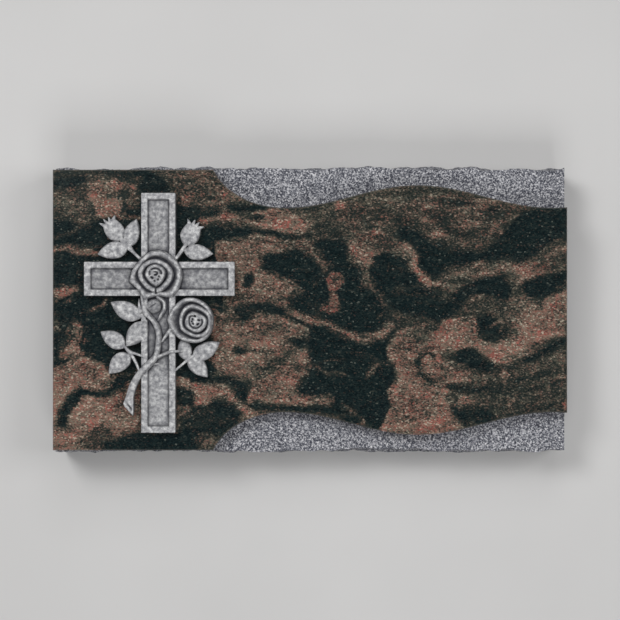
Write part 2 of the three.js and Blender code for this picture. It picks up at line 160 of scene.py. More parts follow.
def between(grid: Array, across: Array, up: Array) -> Array:
    """Reads a grid between its points.

    Args:
        grid: Columns and rows of numbers or of points.
        across: Places along it, in cells.
        up: Places up it, in cells.

    Returns:
        The values there.
    """
    i = np.minimum(across.astype(int), grid.shape[0] - 2)
    j = np.minimum(up.astype(int), grid.shape[1] - 2)
    p, q = (share[..., None] if grid.ndim > 2 else share for share in (across - i, up - j))
    low = grid[i, j] * (1 - p) + grid[i + 1, j] * p
    high = grid[i, j + 1] * (1 - p) + grid[i + 1, j + 1] * p
    return low * (1 - q) + high * q


def quads(number: Array) -> Array:
    """Turns a grid of point numbers into faces."""
    corners = [number[:-1, :-1], number[1:, :-1], number[1:, 1:], number[:-1, 1:]]
    return np.stack(corners, -1).reshape(-1, 4)


def scatter(i: int, j: int, k: int) -> float:
    """Gives an even value from 0 to 1 that is fixed by three whole numbers."""
    wild = math.sin(i * 127.1 + j * 311.7 + k * 74.7) * 43758.5453
    return wild - math.floor(wild)


@dataclass(frozen=True)
class Grain:
    """Seeded smooth noise over a plane, in layers of which each is twice as fine as the last.

    Attributes:
        seed: Fixes the noise.
        along: Width of its coarsest cells.
        across: Height of its coarsest cells.
        layers: How many layers it has.
        strength: How far it swings to each side of 0.
        CELLS: Cells after which it repeats.
        TURN: How far each layer is turned against the last, in radians.
        SHIFT: How far each layer is moved against the last, in cells.
        FADE: How strong each layer is beside the last.
        GAIN: What makes its usual swing about 1.
    """

    seed: int
    along: float
    across: float
    layers: int
    strength: float = 1.0
    CELLS: ClassVar[int] = 256
    TURN: ClassVar[float] = 0.7
    SHIFT: ClassVar[Point] = (17.3, 9.1)
    FADE: ClassVar[float] = 0.55
    GAIN: ClassVar[float] = 3.2

    @cached_property
    def table(self) -> Array:
        """Draws the values at the corners of its cells."""
        return np.random.default_rng(self.seed).random((self.CELLS, self.CELLS))

    def _layer(self, x: Array, y: Array) -> Array:
        """Gives one layer.

        Args:
            x: X in cells.
            y: Y in cells.

        Returns:
            Values from 0 to 1.
        """
        left, low = np.floor(x).astype(int), np.floor(y).astype(int)
        across, up = eased(x - left, 0, 1), eased(y - low, 0, 1)
        rows = []
        for row in (low % self.CELLS, (low + 1) % self.CELLS):
            here = self.table[left % self.CELLS, row]
            rows.append(here * (1 - across) + self.table[(left + 1) % self.CELLS, row] * across)
        return rows[0] * (1 - up) + rows[1] * up

    def at(self, x: Array, y: Array) -> Array:
        """Reads the noise at places.

        Args:
            x: Their x.
            y: Their y.

        Returns:
            Values around 0.
        """
        x, y = x / self.along, y / self.across
        total, weight, sum_of_weights = np.zeros_like(x), 1.0, 0.0
        for layer in range(self.layers):
            turn = self.TURN * layer
            right = (x * math.cos(turn) - y * math.sin(turn)) * 2**layer + self.SHIFT[0] * layer
            up = (x * math.sin(turn) + y * math.cos(turn)) * 2**layer + self.SHIFT[1] * layer
            total += weight * (self._layer(right, up) - 0.5)
            sum_of_weights += weight
            weight *= self.FADE
        return self.strength * (self.GAIN * total / sum_of_weights)


# Finishes


class Wire:
    """A socket of a finish's nodes that takes part in arithmetic."""

    def __init__(self, nodes: "Nodes", socket: bpy.types.NodeSocket) -> None:
        """Wraps one output of the nodes."""
        self.nodes, self.socket = nodes, socket

    @staticmethod
    def _operator(operation: str, reflected: bool = False) -> "Callable[[Wire, Operand], Wire]":
        """Makes an operator that adds one Math node.

        Args:
            operation: The node's operation.
            reflected: Whether the wire is the second of its two values.

        Returns:
            The operator.
        """

        def work(wire: "Wire", other: "Operand") -> "Wire":
            """Adds the node."""
            values = {0: other, 1: wire} if reflected else {0: wire, 1: other}
            return wire.nodes.node("ShaderNodeMath", {"operation": operation}, values)

        return work

    __add__, __radd__ = _operator("ADD"), _operator("ADD", True)
    __sub__, __rsub__ = _operator("SUBTRACT"), _operator("SUBTRACT", True)
    __mul__, __rmul__ = _operator("MULTIPLY"), _operator("MULTIPLY", True)
    __gt__ = _operator("GREATER_THAN")

    def eased(self, low: float, high: float) -> "Wire":
        """Rises smoothly from 0 at low to 1 at high."""
        sockets = {"Value": self, "From Min": low, "From Max": high}
        return self.nodes.node("ShaderNodeMapRange", {"interpolation_type": "SMOOTHSTEP"}, sockets)


Operand = Wire | float


class Nodes:
    """The nodes of one material."""

    def __init__(self, name: str) -> None:
        """Starts an empty material.

        Args:
            name: The material's name.
        """
        self.material = bpy.data.materials.new(name)
        self.material.use_nodes = True
        self.tree = self.material.node_tree
        self.tree.nodes.clear()

    @staticmethod
    def _socket(sockets: Sequence[bpy.types.NodeSocket], key: str | int) -> bpy.types.NodeSocket:
        """Finds a socket by its number, identifier or name."""
        named = (s for s in sockets if s.enabled and key in (s.identifier, s.name))
        return sockets[key] if isinstance(key, int) else next(named)

    def node(
        self,
        kind: str,
        settings: Mapping[str, object],
        sockets: Mapping[str | int, object],
        output: str | int = 0,
    ) -> Wire:
        """Adds a node.

        Args:
            kind: The node's type.
            settings: Its settings, where stops are a ramp's positions and colours.
            sockets: Values or wires for its inputs.
            output: The output that is wanted.

        Returns:
            That output.
        """
        made = self.tree.nodes.new(kind)
        for name, value in settings.items():
            if name == "stops":
                while len(made.color_ramp.elements) < len(value):
                    made.color_ramp.elements.new(1.0)
                for element, (position, shade) in zip(made.color_ramp.elements, value):
                    element.position, element.color = position, shade
            else:
                setattr(made, name, value)
        for key, value in sockets.items():
            socket = self._socket(made.inputs, key)
            if isinstance(value, Wire):
                self.tree.links.new(value.socket, socket)
            else:
                socket.default_value = value
        return Wire(self, self._socket(made.outputs or made.inputs, output))

    def place(self) -> Wire:
        """Gives the place on the object in metres."""
        return self.node("ShaderNodeTexCoord", {}, {}, "Object")

    def painted(self, name: str, output: str = "Fac") -> Wire:
        """Reads what the mesh stores: output is Fac for a number or Vector for three."""
        settings = {"attribute_type": "GEOMETRY", "attribute_name": name}
        return self.node("ShaderNodeAttribute", settings, {}, output)

    def squeezed(self, vector: Wire, factor: float) -> Wire:
        """Scales a vector's X, so that textures get longer along the marker."""
        sockets = {0: vector, 1: (factor, 1, 1)}
        return self.node("ShaderNodeVectorMath", {"operation": "MULTIPLY"}, sockets)

    def scaled(self, shade: Wire, factor: Wire) -> Wire:
        """Makes a colour lighter or darker."""
        sockets = {0: shade, "Scale": factor}
        return self.node("ShaderNodeVectorMath", {"operation": "SCALE"}, sockets)

    def noise(self, vector: Wire, width: float, detail: float, rough: float) -> Wire:
        """Adds noise from 0 to 1, whose features are as wide as width in the vector's unit."""
        sockets = {"Vector": vector, "Scale": 1 / width, "Detail": detail, "Roughness": rough}
        return self.node("ShaderNodeTexNoise", {"noise_dimensions": "3D"}, sockets)

    def crystals(self, vector: Wire, width: float) -> tuple[Wire, ...]:
        """Splits space into crystals, each with three random numbers from 0 to 1.

        Args:
            vector: Where they are read.
            width: Width of a crystal in the vector's unit.

        Returns:
            The three numbers.
        """
        sockets = {"Vector": vector, "Scale": 1 / width}
        shade = self.node("ShaderNodeTexVoronoi", {}, sockets, "Color")
        parts = self.node("ShaderNodeSeparateColor", {}, {0: shade})
        return tuple(Wire(self, output) for output in parts.socket.node.outputs)

    def swayed(self, level: Wire | float, *sways: tuple[float, Wire]) -> Wire:
        """Moves a level by how far each noise is from its middle.

        Args:
            level: The level.
            sways: How strongly each noise counts, and the noise.

        Returns:
            The moved level.
        """
        for weight, noise in sways:
            level = level + weight * (noise - 0.5)
        return level

    def mixed(self, share: Wire | float, first: Wire | Colour, second: Wire | Colour) -> Wire:
        """Mixes two colours by the share of the second."""
        sockets = {"Factor_Float": share, "A_Color": first, "B_Color": second}
        return self.node("ShaderNodeMix", {"data_type": "RGBA"}, sockets, "Result_Color")

    def ramp(self, share: Wire, *stops: tuple[float, float, float, float]) -> Wire:
        """Turns a share into a colour by stops of position and screen red, green and blue."""
        linear = [(position, colour(*shade)) for position, *shade in stops]
        return self.node("ShaderNodeValToRGB", {"stops": linear}, {"Fac": share}, "Color")

    def bump(self, height: Wire, depth: float) -> Wire:
        """Bumps the normal by a relief whose whole step is depth metres."""
        sockets = {"Height": height, "Distance": depth, "Strength": 1.0}
        return self.node("ShaderNodeBump", {}, sockets, "Normal")

    def finished(self, sockets: Mapping[str, object]) -> bpy.types.Material:
        """Adds the surface and hands the material over.

        Args:
            sockets: Values or wires for the surface's inputs.

        Returns:
            The material.
        """
        surface = self.node("ShaderNodeBsdfPrincipled", {}, sockets, "BSDF")
        self.node("ShaderNodeOutputMaterial", {}, {"Surface": surface})
        return self.material


class Polish(Enum):
    """How far a face of the banded granite is polished, as its roughness and how pale it looks."""

    MIRROR = (0.1, 0.0)
    HONED = (0.45, 0.1)


class Dressing(Enum):
    """How a face of the grey granite is dressed, as depth in metres and width of its marks."""

    HAMMERED = (0.0007, 2.6)
    SPLIT = (0.0022, 7.0)
    SAWN = (0.0001, 1.6)


@dataclass(frozen=True)
class BandedGranite:
    """Dark granite with bands of pink, red and brown crystals, whose shares the mesh stores.

    Attributes:
        polish: How far the face is polished.
        grain: Width of the light and dark grains.
        crystal: Width of a crystal of one colour.
        clump: Width of a clump of grains.
    """

    polish: Polish
    grain: float = 1.7
    crystal: float = 1.15
    clump: float = 7.0

    def material(self) -> bpy.types.Material:
        """Builds the material.

        Returns:
            The material.
        """
        rough, paleness = self.polish.value
        nodes = Nodes("banded_granite_" + self.polish.name.lower())
        place = nodes.painted("flow", "Vector")
        pale, warmth = nodes.painted("pale"), nodes.painted("warm")
        grains = nodes.noise(nodes.squeezed(place, 0.72), self.grain, 2.0, 0.55)
        clumps = nodes.noise(nodes.squeezed(place, 0.7), self.clump, 3.0, 0.6)
        flushes = nodes.noise(place, 2 * self.clump, 2.0, 0.5)
        kind, here, tint = nodes.crystals(nodes.squeezed(place, 0.62), self.crystal)
        level = nodes.swayed(0.5, (1.7, grains), (0.9, clumps), (0.5, here))
        light = (pale - level).eased(-0.3, 0.32)
        hue = nodes.ramp(
            nodes.swayed(warmth, (0.7, tint), (0.9, flushes)),
            (0.0, 98, 97, 85), (0.3, 114, 101, 88), (0.55, 130, 103, 91), (0.8, 141, 98, 86),
            (1.0, 150, 84, 76),
        )
        lit = nodes.scaled(hue, (0.6 + 0.66 * kind) * (0.5 + 0.66 * pale))
        glints = nodes.mixed((kind > 0.88) * pale, lit, colour(174, 162, 144))
        dark = nodes.ramp(
            nodes.swayed(0.5, (1.2, clumps), (0.7, tint), (0.6, grains)),
            (0.05, 5, 16, 19), (0.5, 14, 28, 30), (0.85, 31, 42, 41), (1.0, 56, 58, 52),
        )
        dusty = nodes.mixed(pale.eased(0.0, 0.36) * 0.3, dark, colour(52, 53, 46))
        specks = nodes.mixed((tint > 0.98) * kind * 0.6, dusty, colour(108, 112, 104))
        stone = nodes.mixed(light * 0.95, specks, glints)
        if paleness:
            stone = nodes.mixed(paleness, stone, colour(150, 144, 134))
        rough = rough + 0.06 * clumps
        return nodes.finished(
            {"Base Color": stone, "Roughness": rough, "IOR": 1.5, "Specular IOR Level": 0.35}
        )


@dataclass(frozen=True)
class GreyGranite:
    """Salt-and-pepper grey granite.

    Attributes:
        dressing: How the face is dressed.
        grain: Width of the light and dark grains.
        crystal: Width of a crystal.
    """

    dressing: Dressing
    grain: float = 1.65
    crystal: float = 1.1

    def material(self) -> bpy.types.Material:
        """Builds the material.

        Returns:
            The material.
        """
        depth, mark = self.dressing.value
        nodes = Nodes("grey_granite_" + self.dressing.name.lower())
        place = nodes.place()
        first, second, third = nodes.crystals(place, self.crystal * MM)
        worms = nodes.noise(place, self.grain * MM, 2.0, 0.6)
        blotches = nodes.noise(place, 3 * self.grain * MM, 2.0, 0.5)
        stone = nodes.ramp(
            nodes.swayed(0.45, (2.7, worms), (0.4, blotches), (0.5, first)),
            (0.0, 52, 53, 62), (0.25, 84, 86, 95), (0.5, 127, 128, 134), (0.75, 170, 170, 174),
            (1.0, 212, 211, 214),
        )
        mica = (third > 0.94) * second
        stone = nodes.mixed(mica * 0.7, stone, colour(38, 40, 48))
        marks = nodes.noise(place, mark * MM, 4.0, 0.6)
        # Painted light on the split sides: lighter on the boldest points, with painted shade in the
        # hollows.
        if self.dressing is Dressing.SPLIT:
            stone = nodes.scaled(stone, 1.12 - 0.5 * nodes.painted("hollow"))
        return nodes.finished(
            {
                "Base Color": stone,
                "Roughness": 0.95 - 0.2 * first,
                "IOR": 1.45,
                "Specular IOR Level": 0.35,
                "Normal": nodes.bump(marks, depth),
            }
        )


@dataclass(frozen=True)
class CastGrey:
    """A grey casting with a mottled skin that is darker in its hollows, by patina and painted
    shade.

    Attributes:
        flake: Width of the mottling.
        speckle: Width of the fine speckles in it.
        relief: Depth of the skin's unevenness in metres.
    """

    flake: float = 4.4
    speckle: float = 0.9
    relief: float = 0.00035

    def material(self) -> bpy.types.Material:
        """Builds the material.

        Returns:
            The material.
        """
        nodes = Nodes("cast_grey")
        place, hollow = nodes.place(), nodes.painted("hollow")
        flakes = nodes.noise(place, self.flake * MM, 3.0, 0.6)
        speckles = nodes.noise(place, self.speckle * MM, 2.0, 0.5)
        mix = nodes.swayed(0.5, (1.25, flakes), (0.3, speckles))
        skin = nodes.ramp(
            mix, (0.28, 120, 121, 125), (0.45, 153, 153, 155), (0.58, 179, 179, 180),
            (0.74, 212, 212, 211),
        )
        return nodes.finished(
            {
                # The stored hollow share paints patina and painted shade into the hollows, down the
                # walls and into the gaps.
                "Base Color": nodes.mixed(hollow, skin, colour(24, 26, 38)),
                "Roughness": 0.72 - 0.2 * flakes,
                "Metallic": 0.12,
                "Normal": nodes.bump(mix, self.relief),
            }
        )


@dataclass(frozen=True)
class PaleFloor:
    """A plain pale floor with a hardly visible cloudiness.

    Attributes:
        cloud: Width of a cloud in metres.
    """

    cloud: float = 1 / 3

    def material(self) -> bpy.types.Material:
        """Builds the material.

        Returns:
            The material.
        """
        nodes = Nodes("pale_floor")
        clouds = nodes.noise(nodes.place(), self.cloud, 3.0, 0.5)
        shade = nodes.ramp(clouds, (0.3, 199, 198, 197), (0.7, 205, 204, 203))
        return nodes.finished({"Base Color": shade, "Roughness": 0.8})


def new_object(
    name: str,
    points: Array,
    faces: Sequence[Sequence[int]],
    materials: Sequence[bpy.types.Material],
    kinds: Sequence[int] | None = None,
) -> bpy.types.Object:
    """Makes a mesh object.

    Args:
        name: The object's name.
        points: Its points, one row each.
        faces: Its faces as point numbers.
        materials: Its materials.
        kinds: The material of each face, or None where there is only one.

    Returns:
        The linked object.
    """
    mesh = bpy.data.meshes.new(name)
    mesh.from_pydata((points * MM).tolist(), [], faces)
    for material in materials:
        mesh.materials.append(material)
    if kinds is not None:
        mesh.polygons.foreach_set("material_index", np.asarray(kinds, np.int32))
    mesh.polygons.foreach_set("use_smooth", np.ones(len(faces), bool))
    mesh.update()
    made = bpy.data.objects.new(name, mesh)
    bpy.context.scene.collection.objects.link(made)
    return made


def store(made: bpy.types.Object, name: str, values: Array) -> None:
    """Stores a number or a vector at each point of a mesh.

    Args:
        made: The object.
        name: The attribute's name.
        values: One row for each point.
    """
    kind, slot = ("FLOAT_VECTOR", "vector") if values.ndim == 2 else ("FLOAT", "value")
    attribute = made.data.attributes.new(name, kind, "POINT")
    attribute.data.foreach_set(slot, np.ascontiguousarray(values, np.float32).ravel())


def joined_to_part(made: bpy.types.Object, node: str) -> None:
    """Lets a piece stand for a node of the part and logs it.

    Args:
        made: The piece.
        node: The node that it replaces.
    """
    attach(made, "root")
    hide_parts(node)
    made.data.calc_loop_triangles()
    log.info("%s: %d triangles", made.name, len(made.data.loop_triangles))


# The casting


@dataclass
class Relief:
    """The face of the casting as heights over a fine grid, in the casting's own frame.

    Attributes:
        west: Lowest x of the grid.
        east: Highest x of the grid.
        south: Lowest y of the grid.
        north: Highest y of the grid.
        step: Width of a cell.
        fall: How steeply a form's wall falls where it stands on another.
        blend: Height over which two forms run into each other.
        nowhere: Height where there is no form yet.
        groove_edge: Half the width over which a groove sinks.
        groove_shade: How dark a groove is painted, as patina and painted shade.
    """

    west: float = -80.5
    east: float = 82.5
    south: float = -165.0
    north: float = 93.0
    step: float = 0.56
    fall: float = 5.5
    blend: float = 0.5
    nowhere: float = -50.0
    groove_edge: float = 0.45
    groove_shade: float = 0.93

    def __post_init__(self) -> None:
        """Lays out the empty grid."""
        across = np.arange(self.west, self.east, self.step)
        up = np.arange(self.south, self.north, self.step)
        self.x, self.y = np.meshgrid(across, up, indexing="ij")
        self.height = np.full(self.x.shape, self.nowhere)
        self.reach = np.full(self.x.shape, self.nowhere)
        # How far the face is darkened: patina and painted shade.
        self.shade = np.zeros(self.x.shape)

    def window(self, points: Array, margin: float) -> tuple[slice, slice]:
        """Finds the part of the grid around some points.

        Args:
            points: The points, of which the first two columns are x and y.
            margin: How far it reaches beyond them.

        Returns:
            The slices along x and y.
        """
        low = (points[:, :2].min(0) - margin - (self.west, self.south)) / self.step
        high = (points[:, :2].max(0) + margin - (self.west, self.south)) / self.step
        low, high = np.maximum(low.astype(int), 0), np.maximum(high.astype(int) + 2, 1)
        return slice(low[0], high[0]), slice(low[1], high[1])

    def lay(
        self, at: tuple[slice, slice], height: Array, reach: Array, shade: Array | float = 0.0
    ) -> None:
        """Joins a form to the relief.

        Args:
            at: The part of the grid that it covers.
            height: Its heights there, which fall steeply beyond its outline.
            reach: How far each place lies inside its outline.
            shade: How far it is darkened, from 0 to 1; this carries patina and painted shade.
        """
        held = self.height[at]
        self.shade[at] = np.where(height > held, shade, self.shade[at])
        gap = np.maximum(self.blend - np.abs(held - height), 0)
        self.height[at] = np.maximum(held, height) + gap * gap / (4 * self.blend)
        self.reach[at] = np.maximum(self.reach[at], reach)

    def walled(self, face: Array, edge: Array | float, reach: Array) -> Array:
        """Lets the heights fall from the edge's own, beyond a form's outline."""
        return np.where(reach > 0, face, edge + self.fall * reach)

    def cut(self, line: Array, depth: float, floor: float | None = None) -> None:
        """Cuts a groove with a round bottom, or raises a bead where the depth is negative.

        Args:
            line: Rows of x, y and width.
            depth: How deep it is.
            floor: The height of its bottom, which takes the place of the depth.
        """
        at = self.window(line, 3.0)
        reach, _ = along_line(self.x[at], self.y[at], line)
        share = eased(reach, -self.groove_edge, self.groove_edge)
        held = self.height[at]
        goal = held - depth if floor is None else np.minimum(held, floor)
        self.height[at] = held * (1 - share) + goal * share
        # A groove is darkened with patina and painted shade; a bead is not.
        if depth >= 0:
            self.shade[at] = np.maximum(self.shade[at], self.groove_shade * share)

    def softened(self, values: Array, width: float) -> Array:
        """Blurs values over the casting, without what lies beyond its outline.

        Args:
            values: The values on the grid.
            width: The blur's spread.

        Returns:
            The blurred values.
        """
        taps = int(math.ceil(2.5 * width / self.step))
        kernel = np.exp(-0.5 * (np.arange(-taps, taps + 1) * self.step / width) ** 2)
        weight = (self.reach > 0).astype(float)
        total = values * weight
        for axis in (0, 1):
            total = np.apply_along_axis(np.convolve, axis, total, kernel, mode="same")
            weight = np.apply_along_axis(np.convolve, axis, weight, kernel, mode="same")
        return np.where(weight > 1e-6, total / np.maximum(weight, 1e-6), values)

    def sampled(self, values: Array, x: Array, y: Array) -> Array:
        """Reads values at places between the points of the grid.

        Args:
            values: The values on the grid.
            x: Their x.
            y: Their y.

        Returns:
            The values there.
        """
        across = np.clip((x - self.west) / self.step, 0, self.x.shape[0] - 1)
        up = np.clip((y - self.south) / self.step, 0, self.x.shape[1] - 1)
        return between(values, across, up)


@dataclass(frozen=True)
class LatinCross:
    """The cross with its raised rim and sunk field.

    Attributes:
        half_width: Half the width of shaft and arms.
        top: Y of the upper end.
        foot: Y of the lower end.
        left: X of the left end.
        right: X of the right end.
        rim: Width of the raised rim.
        height: Height of the rim.
        floor: Height of the field.
        bevel: Radius of the rim's arrises.
        arm_shade: How far the arms' field is darkened.
        top_shade: The same in the upper field.
        foot_shade: The same in the lower field.
        stem_shade: Painted shade that is added to it behind the stems.
        stem_fade: Between which y that fades in.
        rose_shade: Painted shade that is added round the crossing.
        rose_fade: Between which distances from it that fades, below 0.
        wall_shade: Painted shade that is added beside the rim.
        wall_fade: Width over which that fades.
        clouds: Unevenness of that darkening.
        sunk_wall: Between which depths inside the rim its wall falls to the field.
        sunk_edge: Between which depths the field's darkening comes in.
    """

    half_width: float = 18.1
    top: float = 91.2
    foot: float = -163.5
    left: float = -78.8
    right: float = 81.0
    rim: float = 6.6
    height: float = 12.0
    floor: float = 8.2
    bevel: float = 0.8
    arm_shade: float = 0.36
    top_shade: float = 0.27
    foot_shade: float = 0.19
    stem_shade: float = 0.36
    stem_fade: Point = (-106, -84)
    rose_shade: float = 0.2
    rose_fade: Point = (-42, -24)
    wall_shade: float = 0.4
    wall_fade: float = 2.0
    clouds: Grain = Grain(61, 9, 9, 3, 0.07)
    sunk_wall: Point = (-0.35, 1.1)
    sunk_edge: Point = (-0.2, 0.5)

    def outline(self, inset: float) -> Array:
        """Gives the cross's twelve corners, drawn in by an inset.

        Args:
            inset: How far they are drawn in.

        Returns:
            The corners, one row each.
        """
        half = self.half_width - inset
        left, right = self.left + inset, self.right - inset
        foot, top = self.foot + inset, self.top - inset
        across = (-half, half, half, right, right, half, half, -half, -half, left, left, -half)
        up = (foot, foot, -half, -half, half, half, top, top, half, half, -half, -half)
        return np.column_stack([across, up])

    def lay(self, relief: Relief) -> None:
        """Adds the cross to the relief.

        Args:
            relief: The relief.
        """
        at = relief.window(self.outline(0), 2.0)
        x, y = relief.x[at], relief.y[at]
        reach = depth_inside(x, y, self.outline(self.bevel)) + self.bevel
        sunk = depth_inside(x, y, self.outline(self.rim + self.bevel)) + self.bevel
        shoulder = np.clip(1 - reach / self.bevel, 0, 1) ** 2 * self.bevel
        fall = (self.height - self.floor) * eased(sunk, *self.sunk_wall)
        face = self.height - shoulder - fall
        # The field's darkening, with painted shade behind the stems, round the crossing and beside
        # the rim.
        shaft = np.where(y > 0, self.top_shade, self.foot_shade)
        deep = np.where(np.abs(x) > self.half_width, self.arm_shade, shaft)
        deep = deep + self.stem_shade * (y < -self.half_width) * eased(y, *self.stem_fade)
        deep = deep + self.rose_shade * eased(-np.hypot(x, y), *self.rose_fade)
        deep = deep + self.clouds.at(x, y)
        wall = self.wall_shade * np.exp(-np.maximum(sunk, 0) / self.wall_fade)
        shade = eased(sunk, *self.sunk_edge) * (deep + wall)
        relief.lay(at, relief.walled(face, self.height - self.bevel, reach), reach, shade)


@dataclass(frozen=True)
class BladeForm:
    """The shape that leaves or buds share.

    Attributes:
        widest: Where along its length it is widest.
        tip_share: Width at the tip as a share of the widest.
        base_fullness: How round it is below its widest place.
        tip_fullness: How round it is above it.
        edge: How far its face drops to its edge.
        shoulder: Width over which it drops.
        crown: How far its middle stands over the rest.
        shade: How dark its patina is.
    """

    widest: float
    tip_share: float
    base_fullness: float
    tip_fullness: float
    edge: float = 1.9
    shoulder: float = 2.2
    crown: float = 0.35
    shade: float = 0.05

    def width(self, share: Array) -> Array:
        """Gives the half-width along the length.

        Args:
            share: Shares of the length.

        Returns:
            Shares of the widest half-width.
        """
        below = 1 - np.clip((self.widest - share) / self.widest, 0, 1) ** self.base_fullness
        beyond = np.clip((share - self.widest) / (1 - self.widest), 0, 1) ** self.tip_fullness
        return np.where(share < self.widest, below, 1 - (1 - self.tip_share) * beyond)


LEAF = BladeForm(0.45, 0.0, 2.7, 1.9)
BUD = BladeForm(0.5, 0.7, 2.2, 2.0)


@dataclass(frozen=True)
class Blade:
    """A leaf or the body of a bud.

    Attributes:
        base: Where it starts.
        tip: Where it ends.
        left: Its half-width on the left of that way.
        right: Its half-width on the right.
        rise: Heights of its face at base and tip.
        form: The shape that it shares with its kind.
    """

    base: Point
    tip: Point
    left: float
    right: float
    rise: Point
    form: BladeForm = LEAF

    def lay(self, relief: Relief) -> None:
        """Adds the blade to the relief.

        Args:
            relief: The relief.
        """
        base, form = np.array(self.base), self.form
        along = np.array(self.tip) - base
        length = np.hypot(*along)
        across = np.array([-along[1], along[0]]) / length
        share = np.linspace(0, 1, 30)
        middle, width = base + share[:, None] * along, form.width(share)
        right = middle - (self.right * width)[:, None] * across
        left = middle + (self.left * width)[:, None] * across
        outline = np.vstack([right, left[::-1]])
        at = relief.window(outline, 3.0)
        x, y = relief.x[at], relief.y[at]
        reach = depth_inside(x, y, outline)
        way = np.clip(((x - base[0]) * along[0] + (y - base[1]) * along[1]) / length**2, 0, 1)
        rise = self.rise[0] + (self.rise[1] - self.rise[0]) * way
        drop = form.edge * np.clip(1 - reach / form.shoulder, 0, 1) ** 2
        swell = form.crown * eased(reach, 0.0, min(self.left, self.right))
        face = rise - drop + swell - form.crown
        relief.lay(at, relief.walled(face, rise - form.edge - form.crown, reach), reach, form.shade)


@dataclass(frozen=True)
class Stem:
    """A round-faced stem that is half sunk in the back.

    Attributes:
        route: X, y, height and width of its points, in turn.
        bulge: Height of its round face as a share of its width.
        fullness: How much of that round is left at its edge.
        sunk: How far below its crest its wall starts, as a share of its width.
    """

    route: Row
    bulge: ClassVar[float] = 0.42
    fullness: ClassVar[float] = 0.95
    sunk: ClassVar[float] = 0.33

    def lay(self, relief: Relief) -> None:
        """Adds the stem to the relief.

        Args:
            relief: The relief.
        """
        x, y, height, width = np.reshape(self.route, (-1, 4)).T
        line = smooth_line(np.column_stack([x, y, width, width, height]), 6)
        at = relief.window(line, 6.0)
        reach, carried = along_line(relief.x[at], relief.y[at], line)
        width, height = carried[..., 0], carried[..., 1]
        off = np.clip((width / 2 - reach) / np.maximum(width / 2, 0.1), 0, 1)
        drop = self.bulge * width * (1 - np.sqrt(1 - self.fullness * off * off))
        relief.lay(at, relief.walled(height - drop, height - self.sunk * width, reach), reach)


@dataclass(frozen=True)
class CrownedBud:
    """A bud with a fan of sepals at its mouth.

    Attributes:
        body: The bud.
        tips: Where the sepals end.
        root: How far below the mouth the sepals start.
        heights: Heights of a sepal at its foot, middle and tip.
        widths: Its widths there.
    """

    body: Blade
    tips: tuple[Point, ...]
    root: float = 1.2
    heights: Row = (9.4, 8.8, 7.6)
    widths: Row = (4.4, 2.7, 0.9)

    def lay(self, relief: Relief) -> None:
        """Adds the bud to the relief.

        Args:
            relief: The relief.
        """
        self.body.lay(relief)
        mouth = np.array(self.body.tip)
        along = (mouth - self.body.base) / np.hypot(*(mouth - self.body.base))
        across = np.array([-along[1], along[0]])
        half = self.body.left * self.body.form.tip_share
        for number, tip in enumerate(self.tips):
            shift = half * (1 - 2 * (number + 0.5) / len(self.tips))
            foot = mouth + across * shift - along * self.root
            rows = np.column_stack([(foot, (foot + tip) / 2, tip), self.heights, self.widths])
            Stem(tuple(rows.ravel())).lay(relief)


@dataclass(frozen=True)
class HiddenBud:
    """The round bud that hides behind the stems.

    Attributes:
        middle: Its middle.
        radius: Its radius.
        foot: Height at which its dome starts.
        top: Height of its dome.
        slit: X, y and width of the points of the slit in it, in turn.
        slit_depth: How deep that is.
        shade: How far it is darkened all over.
        edge_shade: Painted shade that is added to that towards its edge.
        edge_start: Share of its radius at which that starts.
    """

    middle: Point = (-4.8, -28.9)
    radius: float = 8.6
    foot: float = 6.0
    top: float = 14.6
    slit: Row = (-9.4, -30.6, 0.9, -5.6, -28.2, 1.4, -2.2, -25.6, 1.0)
    slit_depth: float = 1.4
    shade: float = 0.22
    edge_shade: float = 0.45
    edge_start: float = 0.6

    def lay(self, relief: Relief) -> None:
        """Adds the bud to the relief.

        Args:
            relief: The relief.
        """
        at = relief.window(np.array([self.middle]), self.radius + 2)
        off = np.hypot(relief.x[at] - self.middle[0], relief.y[at] - self.middle[1])
        round_share = np.sqrt(np.clip(1 - (off / self.radius) ** 2, 0, 1))
        dome, reach = self.foot + (self.top - self.foot) * round_share, self.radius - off
        # Painted shade towards its edge.
        near_edge = eased(off, self.edge_start * self.radius, self.radius)
        shade = self.shade + self.edge_shade * near_edge
        relief.lay(at, relief.walled(dome, self.foot, reach), reach, shade)
        relief.cut(np.reshape(self.slit, (-1, 3)), self.slit_depth)


@dataclass(frozen=True)
class CutEnd:
    """The slanted lower end of the main stem with its hollow.

    Attributes:
        line: X and y of its corners, in turn.
        hollow: X and y of its hollow's corners, in turn.
        height: Height of its face.
        bevel: Radius of its arris.
        sink: How deep the hollow is.
        shade: How dark its hollow is painted, as patina and painted shade.
        hollow_wall: Between which depths inside its line the hollow sinks.
        hollow_edge: Between which depths that comes in.
    """

    line: Row = (
        -35.1, -126.4, -37.3, -132.6, -35.6, -136.2, -26.8, -145.6, -26.3, -137, -26.5, -124.3,
    )
    hollow: Row = (-34.6, -130.6, -33.4, -133, -28.2, -140.2, -28.4, -137.4)
    height: float = 11.7
    bevel: float = 0.9
    sink: float = 3.6
    shade: float = 0.6
    hollow_wall: Point = (-0.5, 0.7)
    hollow_edge: Point = (-0.5, 0.5)

    def lay(self, relief: Relief) -> None:
        """Adds the cut end to the relief.

        Args:
            relief: The relief.
        """
        outline = np.reshape(self.line, (-1, 2))
        at = relief.window(outline, 2.0)
        x, y = relief.x[at], relief.y[at]
        reach = depth_inside(x, y, outline)
        hollow = depth_inside(x, y, np.reshape(self.hollow, (-1, 2)))
        shoulder = np.clip(1 - reach / self.bevel, 0, 1) ** 2 * self.bevel
        face = self.height - shoulder - self.sink * eased(hollow, *self.hollow_wall)
        wall = relief.walled(face, self.height - self.bevel, reach)
        # The hollow gets patina and painted shade.
        relief.lay(at, wall, reach, self.shade * eased(hollow, *self.hollow_edge))


